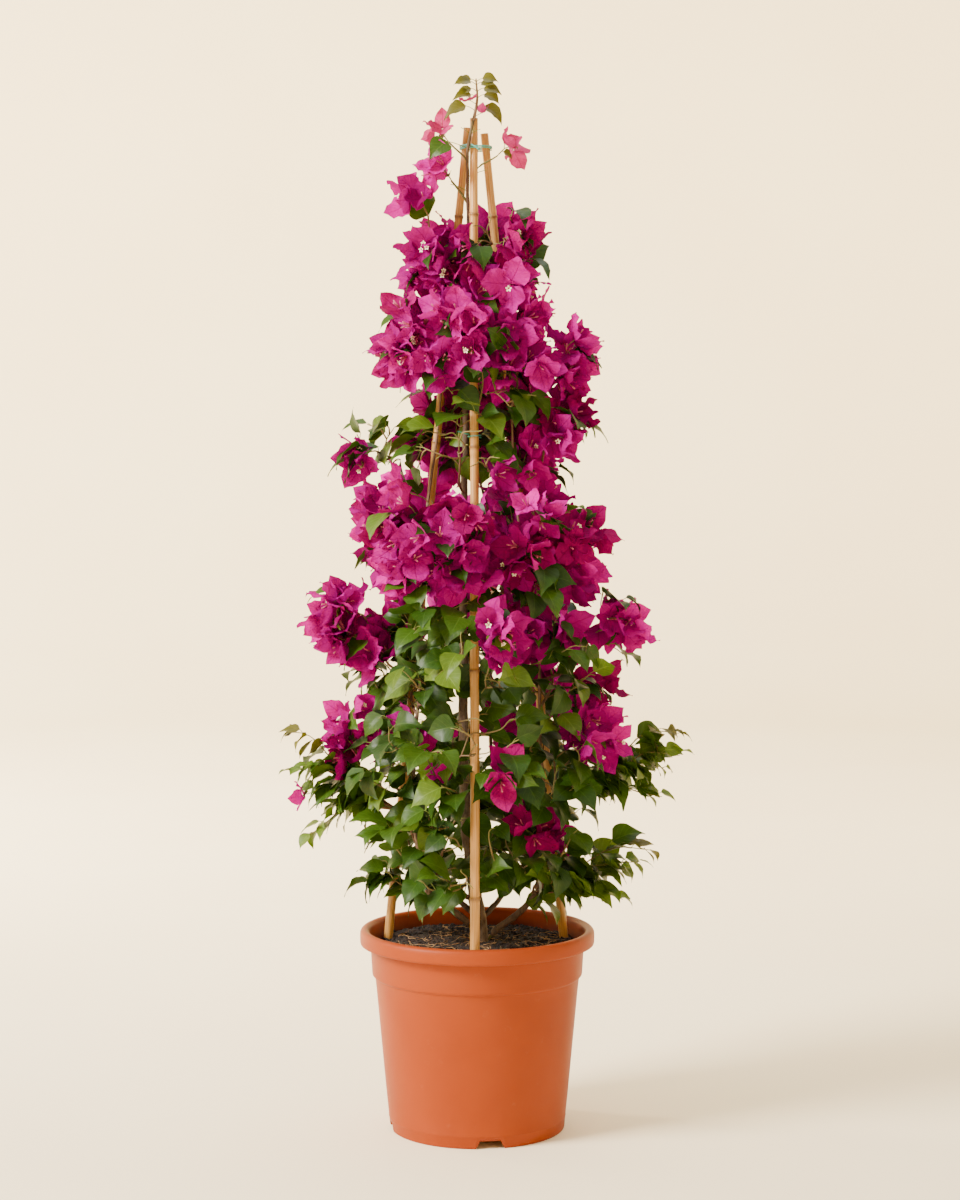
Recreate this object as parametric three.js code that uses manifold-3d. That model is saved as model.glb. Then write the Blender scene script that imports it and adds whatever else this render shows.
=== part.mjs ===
// A bougainvillea grown as a slim cone on a tripod of bamboo canes, in a round plastic pot.
// Millimetres, +Z up. The origin is the middle of the pot's flat underside, +X is the plant's right
// and +Y its back. Places round the plant are given by a bearing in degrees: 0 is +X, 90 is +Y.
import * as THREE from "three";
import { mergeVertices } from "three/addons/utils/BufferGeometryUtils.js";
import Module from "manifold-3d";

const wasm = await Module();
wasm.setup();

// ---- Driving dimensions ----

const GAP = 0.4; // clearance between solids that touch on the real plant
const POT = {
  height: 257,
  rimRadius: 150,
  rimHeight: 20,
  rimWidth: 12,
  collarRadius: 137,
  collarFoot: 199, // height of the step under the collar
  collarRound: 2,
  stepRadius: 131,
  stepRise: 4,
  rimEdge: 3,
  baseRadius: 112.5,
  baseBevel: 3,
  wall: 2.6,
  floor: 3,
  sides: 32,
};
const NOTCH = { count: 4, turn: 278.5, height: 10, topWidth: 26, footWidth: 37, depth: 30, overcut: 5 };
const COMPOST = { height: 238, mound: 5, crownShare: 0.8 };
const CANE = {
  footRadius: 6,
  topRadius: 5,
  knuckleEvery: 285,
  firstKnuckle: 71,
  knuckleHeight: 4,
  knuckleProud: 0.8,
  sides: 8,
  clearanceSides: 6,
};
const CANES = [
  { name: "front", foot: [-3, -118], top: [-4, -9], height: 1281 },
  { name: "left", foot: [-115, 41], top: [-12, 3], height: 1271 },
  { name: "right", foot: [112, 43], top: [9, 4], height: 1264 },
];
const TIE = { wire: 1.6, height: 3, topAt: 1244, middleAt: 883, cornerSteps: 3 };
const WELD = 1e-4; // vertices closer than this are one

// ---- Solids ----

/** A closed three.js geometry as a manifold-3d solid. */
function solidOf(geometry) {
  const bare = geometry.clone();
  bare.deleteAttribute("normal");
  bare.deleteAttribute("uv");
  const merged = mergeVertices(bare, WELD);
  const mesh = new wasm.Mesh({
    numProp: 3,
    vertProperties: new Float32Array(merged.attributes.position.array),
    triVerts: new Uint32Array(merged.index.array),
  });
  return new wasm.Manifold(mesh);
}

/** A manifold-3d solid as a three.js geometry. */
function geometryOf(solid) {
  const mesh = solid.getMesh();
  const geometry = new THREE.BufferGeometry();
  geometry.setAttribute("position", new THREE.BufferAttribute(mesh.vertProperties, 3));
  geometry.setIndex(new THREE.BufferAttribute(mesh.triVerts, 1));
  geometry.computeVertexNormals();
  return geometry;
}

/** The solid with the cutters taken away, as its one largest piece. */
function cut(solid, cutters) {
  const left = cutters.reduce((body, cutter) => body.subtract(cutter), solid);
  const pieces = left.decompose();
  return pieces.reduce((most, piece) => (piece.volume() > most.volume() ? piece : most));
}

/** A point at a bearing, a reach from the pot's axis and a height. */
function polar(bearing, reach, height) {
  const angle = THREE.MathUtils.degToRad(bearing);
  return new THREE.Vector3(reach * Math.cos(angle), reach * Math.sin(angle), height);
}

/** A profile of [radius, height] pairs turned about +Z, as a solid. */
function turned(profile, sides) {
  const points = profile.map(([radius, height]) => new THREE.Vector2(radius, height));
  return solidOf(new THREE.LatheGeometry(points, sides).rotateX(Math.PI / 2));
}

// ---- Pot and compost ----

/** The inside of the pot's wall at a height. */
function potInside(height) {
  const { baseRadius, stepRadius, collarFoot, collarRadius, wall, height: top } = POT;
  const low = baseRadius + ((stepRadius - baseRadius) * height) / collarFoot;
  const high = stepRadius + ((collarRadius - stepRadius) * (height - collarFoot)) / (top - collarFoot);
  return (height < collarFoot ? low : high) - wall;
}

/** The pot's section, from the middle of its underside to the middle of its floor inside. */
function potProfile() {
  const { height, rimRadius, rimHeight, rimWidth, rimEdge, collarRadius, collarFoot, collarRound } = POT;
  const { stepRadius, stepRise, baseRadius, baseBevel, floor } = POT;
  const rimFoot = height - rimHeight;
  return [
    [0, 0],
    [baseRadius - baseBevel, 0],
    [baseRadius, baseBevel],
    [stepRadius, collarFoot - stepRise],
    [collarRadius - collarRound, collarFoot],
    [collarRadius, rimFoot],
    [rimRadius - rimEdge, rimFoot],
    [rimRadius, rimFoot + rimEdge],
    [rimRadius, height - 2 * rimEdge],
    [rimRadius - 2 * rimEdge, height],
    [rimRadius - rimWidth, height],
    [potInside(height - rimEdge), height - rimEdge],
    [potInside(collarFoot), collarFoot],
    [potInside(floor), floor],
    [0, floor],
  ];
}

/** The drain notches: wedges that run in from the edge of the foot. */
function notchCutters() {
  const { count, turn, height, topWidth, footWidth, depth, overcut } = NOTCH;
  const outline = new THREE.Shape();
  outline.moveTo(-footWidth / 2, -overcut);
  outline.lineTo(footWidth / 2, -overcut);
  outline.lineTo(footWidth / 2, 0);
  outline.lineTo(topWidth / 2, height);
  outline.lineTo(-topWidth / 2, height);
  outline.lineTo(-footWidth / 2, 0);
  const reach = POT.baseRadius + overcut;
  return Array.from({ length: count }, (_, i) => {
    const wedge = new THREE.ExtrudeGeometry(outline, { depth, bevelEnabled: false });
    wedge.rotateX(Math.PI / 2).rotateZ(Math.PI / 2);
    wedge.translate(reach - depth, 0, 0);
    return solidOf(wedge.rotateZ(THREE.MathUtils.degToRad(turn + (360 * i) / count)));
  });
}

/** The pot: its shell, a floor raised over the notches, and the notches cut from its foot. */
function potSolid() {
  const low = POT.floor - GAP;
  const high = NOTCH.height + POT.floor;
  const intoWall = POT.wall / 2;
  const floorPlug = turned(
    [
      [0, low],
      [potInside(POT.floor) + intoWall, low],
      [potInside(high) + intoWall, high],
      [0, high],
    ],
    POT.sides,
  );
  return cut(turned(potProfile(), POT.sides).add(floorPlug), notchCutters());
}

/** The compost, filling the pot to a low mound. */
function compostSolid() {
  const foot = NOTCH.height + POT.floor + GAP;
  const { height, mound, crownShare } = COMPOST;
  const edge = height - mound;
  return turned(
    [
      [0, foot],
      [potInside(foot) - GAP, foot],
      [potInside(POT.collarFoot) - GAP, POT.collarFoot],
      [potInside(edge) - GAP, edge],
      [potInside(edge) * crownShare, height],
      [0, height],
    ],
    POT.sides,
  );
}

// ---- Canes and their ties ----

/** The middles of a cane's cut foot and top. */
function caneEnds({ foot, top, height }) {
  return [new THREE.Vector3(...foot, COMPOST.height + GAP), new THREE.Vector3(...top, height)];
}

/** The middle of a cane at a height. */
function caneAt(cane, height) {
  const [foot, top] = caneEnds(cane);
  return foot.clone().lerp(top, (height - foot.z) / (top.z - foot.z));
}

/** A [radius, height] profile set up along a cane from its foot. */
function alongCane(cane, profile, sides) {
  const [foot, top] = caneEnds(cane);
  const lean = new THREE.Quaternion().setFromUnitVectors(
    new THREE.Vector3(0, 0, 1),
    top.clone().sub(foot).normalize(),
  );
  const stand = new THREE.Matrix4().compose(foot, lean, new THREE.Vector3(1, 1, 1));
  return turned(profile, sides).transform(stand.elements);
}

/** A cane with its knuckles. */
function caneSolid(cane) {
  const { footRadius, topRadius, firstKnuckle, knuckleEvery, knuckleHeight, knuckleProud } = CANE;
  const [foot, top] = caneEnds(cane);
  const length = foot.distanceTo(top);
  const radiusAt = (along) => footRadius + ((topRadius - footRadius) * along) / length;
  const profile = [[0, 0], [footRadius, 0]];
  for (let at = firstKnuckle; at < length - knuckleHeight; at += knuckleEvery) {
    profile.push([radiusAt(at), at - knuckleHeight / 2]);
    profile.push([radiusAt(at) + knuckleProud, at]);
    profile.push([radiusAt(at), at + knuckleHeight / 2]);
  }
  profile.push([topRadius, length], [0, length]);
  return alongCane(cane, profile, CANE.sides);
}

/** The plain cutter that clears a cane and its knuckles. */
function caneClearance(cane) {
  const { footRadius, knuckleProud, clearanceSides } = CANE;
  const [foot, top] = caneEnds(cane);
  const length = foot.distanceTo(top);
  const radius = (footRadius + knuckleProud + GAP) / Math.cos(Math.PI / clearanceSides);
  const profile = [[0, -GAP], [radius, -GAP], [radius, length + GAP], [0, length + GAP]];
  return alongCane(cane, profile, clearanceSides);
}

/** The round outline that goes tight round the three canes, at a distance from their middles. */
function roundCanes(height, distance) {
  const steps = TIE.cornerSteps;
  const middles = CANES.map((cane) => caneAt(cane, height));
  const count = middles.length;
  const centre = middles.reduce((sum, p) => sum.add(p), new THREE.Vector3()).divideScalar(count);
  const bearingOf = (p) => Math.atan2(p.y - centre.y, p.x - centre.x);
  middles.sort((a, b) => bearingOf(a) - bearingOf(b));
  const points = [];
  middles.forEach((middle, i) => {
    const before = middles[(i + count - 1) % count];
    const after = middles[(i + 1) % count];
    const start = Math.atan2(middle.y - before.y, middle.x - before.x) - Math.PI / 2;
    let end = Math.atan2(after.y - middle.y, after.x - middle.x) - Math.PI / 2;
    while (end < start) end += 2 * Math.PI;
    for (let s = 0; s <= steps; s++) {
      const angle = start + ((end - start) * s) / steps;
      const x = middle.x + distance * Math.cos(angle);
      points.push(new THREE.Vector2(x, middle.y + distance * Math.sin(angle)));
    }
  });
  return points;
}

/** The wire that gathers the tops of the canes, or with extra the filled cutter that clears it. */
function topTieSolid(extra = 0) {
  const inside = CANE.topRadius + CANE.knuckleProud + GAP;
  const band = new THREE.Shape(roundCanes(TIE.topAt, inside + TIE.wire + extra));
  if (!extra) band.holes.push(new THREE.Path(roundCanes(TIE.topAt, inside)));
  const wire = new THREE.ExtrudeGeometry(band, { depth: TIE.height + 2 * extra, bevelEnabled: false });
  return solidOf(wire).translate(0, 0, TIE.topAt - extra);
}

/** The wire loop high on the front cane, or with extra the filled cutter that clears it. */
function middleTieSolid(extra = 0) {
  const inside = extra ? 0 : CANE.footRadius + CANE.knuckleProud + GAP;
  const outside = CANE.footRadius + CANE.knuckleProud + GAP + TIE.wire + extra;
  const top = TIE.height + 2 * extra;
  const ring = [[inside, 0], [outside, 0], [outside, top], [inside, top], [inside, 0]];
  const middle = caneAt(CANES[0], TIE.middleAt);
  return turned(ring, 2 * CANE.sides).translate(middle.x, middle.y, TIE.middleAt - extra);
}

// ---- Stems ----

/** A tapering limb along a smooth curve through its points; radiusAt takes 0 at the foot to 1 at the tip. */
function limbSolid(points, radiusAt, steps, sides) {
  const curve = new THREE.CatmullRomCurve3(points.map((p) => new THREE.Vector3(...p)), false, "centripetal");
  const frames = curve.computeFrenetFrames(steps, false);
  const limb = new THREE.CylinderGeometry(1, 1, 1, sides, steps).toNonIndexed();
  const position = limb.attributes.position;
  for (let i = 0; i < position.count; i++) {
    const along = position.getY(i) + 0.5;
    const ring = Math.round(along * steps);
    const radius = radiusAt(along);
    const place = curve.getPointAt(along);
    place.addScaledVector(frames.normals[ring], position.getZ(i) * radius);
    place.addScaledVector(frames.binormals[ring], position.getX(i) * radius);
    position.setXYZ(i, place.x, place.y, place.z);
  }
  return solidOf(limb);
}

// Routes are [x, y, height above the compost].
const TRUNK = {
  footRadius: 8.5,
  tipRadius: 1.8,
  taper: 1.2, // over 1, it thins faster near its foot
  flare: 7, // what the root flare adds to the radius at the foot
  flareHeight: 0.05, // share of the trunk's length over which most of the flare is lost
  steps: 18,
  sides: 7,
};
const TRUNK_ROUTE = [
  [6, 3, -8],
  [-2, 6, 60],
  [-14, 10, 150],
  [-18, 6, 400],
  [-15, 0, 640],
  [-10, 2, 840],
  [-12, -6, 955],
  [-14, -16, 982],
  [-10, -22, 1020],
  [0, -16, 1060],
];

/** A route's points with their heights above the pot's underside. */
function standing(route) {
  return route.map(([x, y, rise]) => [x, y, COMPOST.height + rise]);
}

/** The trunk and leader, cut flat at the compost, or with extra radius the cutter that clears them. */
function trunkSolid(extra = 0) {
  const { flare, flareHeight, footRadius, tipRadius, taper, steps, sides } = TRUNK;
  const radiusAt = (along) => {
    const stem = tipRadius + (footRadius - tipRadius) * (1 - along) ** taper;
    return stem + flare * Math.exp(-along / flareHeight) + extra;
  };
  const whole = limbSolid(standing(TRUNK_ROUTE), radiusAt, steps, sides);
  return whole.trimByPlane([0, 0, 1], COMPOST.height + GAP);
}

// Each bough leaves the trunk and ends where it enters a mass.
const BOUGH = { tipShare: 0.6, steps: 7, sides: 6 };
const BOUGHS = [
  {
    name: "left",
    radius: 5,
    route: [[0, 5, 14], [-45, -4, 52], [-71, -8, 64], [-97, -12, 92], [-126, -16, 124]],
  },
  { name: "right", radius: 5, route: [[4, 4, 4], [25, 0, 16], [62, -8, 48], [86, -14, 80], [104, -18, 120]] },
  { name: "front_left", radius: 4, route: [[-4, 8, 56], [-30, -28, 70], [-52, -62, 100], [-56, -84, 150]] },
  { name: "front_right", radius: 4, route: [[-4, 8, 70], [30, -30, 78], [58, -56, 110], [70, -70, 162]] },
  { name: "back_left", radius: 4, route: [[-2, 8, 32], [-30, 48, 52], [-54, 78, 92], [-60, 92, 150]] },
  { name: "back_right", radius: 4, route: [[2, 8, 24], [30, 46, 48], [56, 72, 90], [66, 84, 150]] },
  { name: "top_left", radius: 1.6, route: [[-12, -4, 940], [-26, -8, 958], [-48, -14, 984]] },
  { name: "top_left_high", radius: 1.4, route: [[-13, -18, 992], [-28, -12, 1006], [-50, -9, 1028]] },
  { name: "top_right", radius: 1.4, route: [[-14, -16, 978], [12, -18, 988], [42, -10, 1008]] },
];

/** A bough, thinning evenly to its tip. */
function boughSolid({ radius, route }) {
  const { tipShare, steps, sides } = BOUGH;
  return limbSolid(standing(route), (along) => radius * (1 - (1 - tipShare) * along), steps, sides);
}

// ---- Masses of foliage and blossom ----

const LEADER_TIP = 1336;
// Rings of masses, from the pot up. half is [outwards, sideways, upwards] from the middle of a mass.
const TIERS = [
  { name: "skirt", height: 372, reach: 88, count: 4, turn: 250, half: [72, 90, 72], blossoms: [] },
  { name: "waist", height: 490, reach: 112, count: 5, turn: 196, half: [80, 86, 78], blossoms: [0, 2] },
  { name: "hip", height: 618, reach: 100, count: 4, turn: 256, half: [82, 98, 82], blossoms: [3] },
  { name: "belt", height: 754, reach: 88, count: 4, turn: 238, half: [78, 92, 86], blossoms: [0, 1, 2, 3] },
  { name: "neck", height: 872, reach: 48, count: 3, turn: 250, half: [58, 70, 70], blossoms: [1] },
  { name: "shoulder", height: 988, reach: 62, count: 3, turn: 205, half: [64, 80, 84], blossoms: [0, 1, 2] },
  { name: "crest", height: 1108, reach: 44, count: 3, turn: 195, half: [54, 56, 82], blossoms: [0, 1, 2] },
];
// Sprigs that stand out of the rings, and the leader's tip.
const SPRIGS = [
  { kind: "blossom", name: "hip_left", bearing: 187, reach: 162, height: 660, half: [42, 44, 52] },
  { kind: "blossom", name: "hip_right", bearing: 350, reach: 170, height: 644, half: [42, 42, 60] },
  { kind: "blossom", name: "neck_left", bearing: 186, reach: 130, height: 866, half: [42, 40, 52] },
  { kind: "blossom", name: "neck_right", bearing: 352, reach: 102, height: 902, half: [40, 40, 46] },
  { kind: "blossom", name: "shoulder_right", bearing: 352, reach: 112, height: 976, half: [32, 32, 46] },
  { kind: "blossom", name: "crest_left", bearing: 184, reach: 66, height: 1166, half: [28, 26, 32] },
  { kind: "blossom", name: "top_left", bearing: 195, reach: 48, height: 1220, half: [20, 18, 22] },
  { kind: "blossom", name: "top_left_high", bearing: 190, reach: 50, height: 1266, half: [15, 12, 14] },
  { kind: "blossom", name: "top_right", bearing: 345, reach: 42, height: 1246, half: [16, 14, 19] },
  { kind: "leaves", name: "tip", bearing: 300, reach: 10, height: LEADER_TIP - 40, half: [37, 30, 41] },
  { kind: "leaves", name: "shoot_left", bearing: 186, reach: 204, height: 442, half: [44, 34, 80] },
  { kind: "leaves", name: "shoot_right", bearing: 356, reach: 214, height: 466, half: [54, 34, 50] },
  { kind: "leaves", name: "shoot_low_right", bearing: 350, reach: 172, height: 332, half: [54, 32, 42] },
  { kind: "leaves", name: "shoot_back", bearing: 100, reach: 194, height: 452, half: [50, 36, 60] },
];
const STAGGER = { height: 30, bearing: 9, size: 0.08 }; // how far a ring's masses stray from its plan
const LUMP = {
  count: 11,
  rise: 0.3, // how far a lump lifts the skin, as a share of the mass's reach
  sharp: 9,
  most: 1.03, // the furthest that the skin reaches, as a share of the half lengths
  square: 3, // 2 is a plain ellipsoid, and more is squarer
  twist: 0.17, // how much each mass's lumps are turned from the last one's
  fineFrom: 60, // masses at least this wide get the finer mesh
};

/** A repeatable number from -1 to 1 for a mass and one of its measures. */
function stray(seed, measure) {
  return Math.sin(seed * 78.233 + measure * 37.719);
}

/** Every mass with its middle, its three axes, their half lengths and its own seed. */
function listMasses() {
  const ringed = TIERS.flatMap(({ count, turn, blossoms, ...tier }, t) =>
    Array.from({ length: count }, (_, i) => {
      const seed = 10 * (t + 1) + i;
      return {
        kind: blossoms.includes(i) ? "blossom" : "leaves",
        name: `${tier.name}_${i + 1}`,
        bearing: turn + (360 * i) / count + STAGGER.bearing * stray(seed, 1),
        reach: tier.reach,
        height: tier.height + STAGGER.height * stray(seed, 2),
        half: tier.half.map((size, axis) => size * (1 + STAGGER.size * stray(seed, 3 + axis))),
      };
    }),
  );
  return [...ringed, ...SPRIGS].map((mass, i) => {
    const out = polar(mass.bearing, 1, 0);
    const axes = [out, new THREE.Vector3(-out.y, out.x, 0), new THREE.Vector3(0, 0, 1)];
    return { ...mass, seed: i + 1, middle: polar(mass.bearing, mass.reach, mass.height), axes };
  });
}

/** How far a mass's squared ellipsoid, |x/a|^n + |y/b|^n + |z/c|^n = 1, reaches along a unit direction. */
function support(mass, direction) {
  const dual = LUMP.square / (LUMP.square - 1);
  const terms = mass.axes.map((axis, i) => Math.abs(axis.dot(direction) * mass.half[i]) ** dual);
  return (terms[0] + terms[1] + terms[2]) ** (1 / dual);
}

/** The planes that part a mass from the neighbours that it would otherwise run into. */
function partings(mass, masses) {
  const found = [];
  for (const other of masses) {
    if (other === mass) continue;
    const towards = other.middle.clone().sub(mass.middle);
    const distance = towards.length();
    towards.normalize();
    const own = support(mass, towards) * LUMP.most;
    const theirs = support(other, towards) * LUMP.most;
    if (own + theirs > distance) {
      found.push({ normal: towards, offset: (distance * own) / (own + theirs) - GAP });
    }
  }
  return found;
}

/** Lumps in seeded directions, which make each mass uneven in its own way. */
function lumpsOf(seed) {
  const golden = Math.PI * (3 - Math.sqrt(5));
  return Array.from({ length: LUMP.count }, (_, i) => {
    const z = 1 - (2 * (i + 0.5)) / LUMP.count;
    const angle = golden * (i + 1) * (1 + LUMP.twist * seed);
    const ring = Math.sqrt(1 - z * z);
    const size = 0.5 + 0.5 * Math.sin(12.9 * seed + 4.7 * i);
    return { way: new THREE.Vector3(ring * Math.cos(angle), ring * Math.sin(angle), z), size };
  });
}

/** One mass: a lumpy, slightly squared ellipsoid, flattened where it meets its neighbours. */
function massSolid(mass, masses) {
  const blob = new THREE.IcosahedronGeometry(1, mass.half[1] < LUMP.fineFrom ? 1 : 2);
  const planes = partings(mass, masses);
  const lumps = lumpsOf(mass.seed);
  const position = blob.attributes.position;
  const way = new THREE.Vector3();
  for (let i = 0; i < position.count; i++) {
    way.fromBufferAttribute(position, i).normalize();
    const bump = lumps.reduce((sum, l) => sum + l.size * Math.exp(LUMP.sharp * (l.way.dot(way) - 1)), 0);
    const powers = way.toArray().map((share) => Math.abs(share) ** LUMP.square);
    const squared = (powers[0] + powers[1] + powers[2]) ** (-1 / LUMP.square);
    const scale = squared * Math.min(LUMP.most, 1 - LUMP.rise / 2 + LUMP.rise * bump);
    const offset = new THREE.Vector3();
    mass.axes.forEach((axis, a) => offset.addScaledVector(axis, way.getComponent(a) * mass.half[a] * scale));
    let reach = offset.length();
    offset.divideScalar(reach);
    for (const { normal, offset: limit } of planes) {
      const slope = offset.dot(normal);
      if (slope > 0) reach = Math.min(reach, limit / slope);
    }
    const place = mass.middle.clone().addScaledVector(offset, reach);
    place.z = Math.min(place.z, LEADER_TIP);
    position.setXYZ(i, place.x, place.y, place.z);
  }
  return solidOf(blob);
}

// ---- Colours and assembly ----

const COLOURS = {
  pot: { color: 0xc96f45, roughness: 0.5 },
  compost: { color: 0x2e2119, roughness: 0.95 },
  cane: { color: 0xd9b277, roughness: 0.45 },
  tie: { color: 0x2f8577, roughness: 0.5 },
  bark: { color: 0x6f5a45, roughness: 0.85 },
  leaves: { color: 0x3f6b2c, roughness: 0.45 },
  blossom: { color: 0xc2187f, roughness: 0.6 },
};

const plant = new THREE.Group();

/** Adds one named part to the plant in its own look. */
function addPart(name, solid, look) {
  const material = new THREE.MeshStandardMaterial({ ...COLOURS[look], metalness: 0 });
  const part = new THREE.Mesh(geometryOf(solid), material);
  part.name = name;
  plant.add(part);
}

addPart("pot", potSolid(), "pot");
addPart("compost", compostSolid(), "compost");
for (const cane of CANES) addPart(`cane_${cane.name}`, caneSolid(cane), "cane");
addPart("tie_top", topTieSolid(), "tie");
addPart("tie_middle", middleTieSolid(), "tie");
addPart("trunk", trunkSolid(), "bark");

const masses = listMasses();
const stems = [...CANES.map(caneClearance), trunkSolid(GAP)];
const ties = [topTieSolid(GAP), middleTieSolid(GAP)];
const foliage = masses.map((mass) => cut(massSolid(mass, masses), [...stems, ...ties]));
masses.forEach((mass, i) => addPart(`${mass.kind}_${mass.name}`, foliage[i], mass.kind));
for (const bough of BOUGHS) {
  addPart(`bough_${bough.name}`, cut(boughSolid(bough), [...stems, ...foliage]), "bark");
}

export default plant;
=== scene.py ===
"""A bougainvillea trained as a slim cone on three bamboo canes, in a round moulded pot.

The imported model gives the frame: the pot, the compost, the canes, the trunk, the boughs and the
masses of foliage. Each of them is replaced here by the real thing at the same place. The masses say
where the crown is, and twigs, leaves and blossom grow into them from the wood by a seeded rule.
Lengths are metres unless a name ends in _mm.
"""

import logging
import math
from dataclasses import dataclass, field
from enum import Enum
from typing import Iterable, Sequence

import bpy
import numpy as np
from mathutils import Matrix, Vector
from mathutils.bvhtree import BVHTree

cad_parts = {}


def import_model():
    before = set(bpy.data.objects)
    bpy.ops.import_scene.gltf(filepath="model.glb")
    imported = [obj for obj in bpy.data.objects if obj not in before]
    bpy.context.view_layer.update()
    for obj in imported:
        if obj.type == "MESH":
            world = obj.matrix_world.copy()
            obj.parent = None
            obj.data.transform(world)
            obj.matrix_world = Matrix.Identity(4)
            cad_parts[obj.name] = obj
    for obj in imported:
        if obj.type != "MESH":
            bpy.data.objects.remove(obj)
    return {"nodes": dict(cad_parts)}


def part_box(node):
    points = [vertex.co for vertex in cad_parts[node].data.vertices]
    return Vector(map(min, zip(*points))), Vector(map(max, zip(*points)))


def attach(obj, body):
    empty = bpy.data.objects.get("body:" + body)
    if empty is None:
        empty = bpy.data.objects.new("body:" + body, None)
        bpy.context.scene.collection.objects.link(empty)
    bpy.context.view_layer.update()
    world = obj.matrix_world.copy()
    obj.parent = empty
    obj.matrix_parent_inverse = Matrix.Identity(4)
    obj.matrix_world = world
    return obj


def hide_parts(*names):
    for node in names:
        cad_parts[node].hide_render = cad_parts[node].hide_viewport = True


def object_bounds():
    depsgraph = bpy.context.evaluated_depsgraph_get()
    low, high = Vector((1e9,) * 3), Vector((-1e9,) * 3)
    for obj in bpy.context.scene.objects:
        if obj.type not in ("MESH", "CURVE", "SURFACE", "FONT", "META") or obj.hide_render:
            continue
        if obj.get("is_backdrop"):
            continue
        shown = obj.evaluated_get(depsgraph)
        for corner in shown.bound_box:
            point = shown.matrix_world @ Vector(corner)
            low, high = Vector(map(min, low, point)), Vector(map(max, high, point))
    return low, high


Array = np.ndarray
Chance = np.random.Generator

log = logging.getLogger("bougainvillea")

MM = 0.001
SEED = 41
UP = np.array([0.0, 0.0, 1.0])


# ---------------------------------------------------------------- nodes and colours


def linear(hex_colour: str) -> tuple[float, float, float, float]:
    """Turn an sRGB hex colour into linear RGBA.

    Args:
        hex_colour: Six hex digits.

    Returns:
        Red, green, blue and an alpha of one.
    """
    parts = [int(hex_colour[i : i + 2], 16) / 255 for i in (0, 2, 4)]
    return (*(p / 12.92 if p <= 0.04045 else ((p + 0.055) / 1.055) ** 2.4 for p in parts), 1.0)


def add(
    tree: bpy.types.NodeTree,
    kind: str,
    inputs: dict | None = None,
    stops: Sequence[tuple[float, str]] = (),
    **settings: object,
) -> bpy.types.Node:
    """Add a node with its settings, and fill or link its inputs.

    Args:
        tree: The tree that takes the node.
        kind: The node's type name.
        inputs: A value or an output socket for each input, by name or number.
        stops: The place and the sRGB hex colour of each stop, where the node has a colour ramp.
        **settings: The node's own properties.

    Returns:
        The new node.
    """
    node = tree.nodes.new(kind)
    for name, value in settings.items():
        setattr(node, name, value)
    for key, value in (inputs or {}).items():
        if isinstance(value, bpy.types.NodeSocket):
            tree.links.new(value, node.inputs[key])
        else:
            node.inputs[key].default_value = value
    if stops:
        elements = node.color_ramp.elements
        while len(elements) < len(stops):
            elements.new(0.5)
        for element, (position, colour) in zip(elements, stops):
            element.position = position
            element.color = linear(colour)
    return node


def new_material(name: str) -> tuple[bpy.types.Material, bpy.types.NodeTree]:
    """Make an empty node material.

    Args:
        name: The material's name.

    Returns:
        The material and its cleared tree.
    """
    material = bpy.data.materials.new(name)
    material.use_nodes = True
    material.node_tree.nodes.clear()
    return material, material.node_tree


# ---------------------------------------------------------------- finishes


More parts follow.
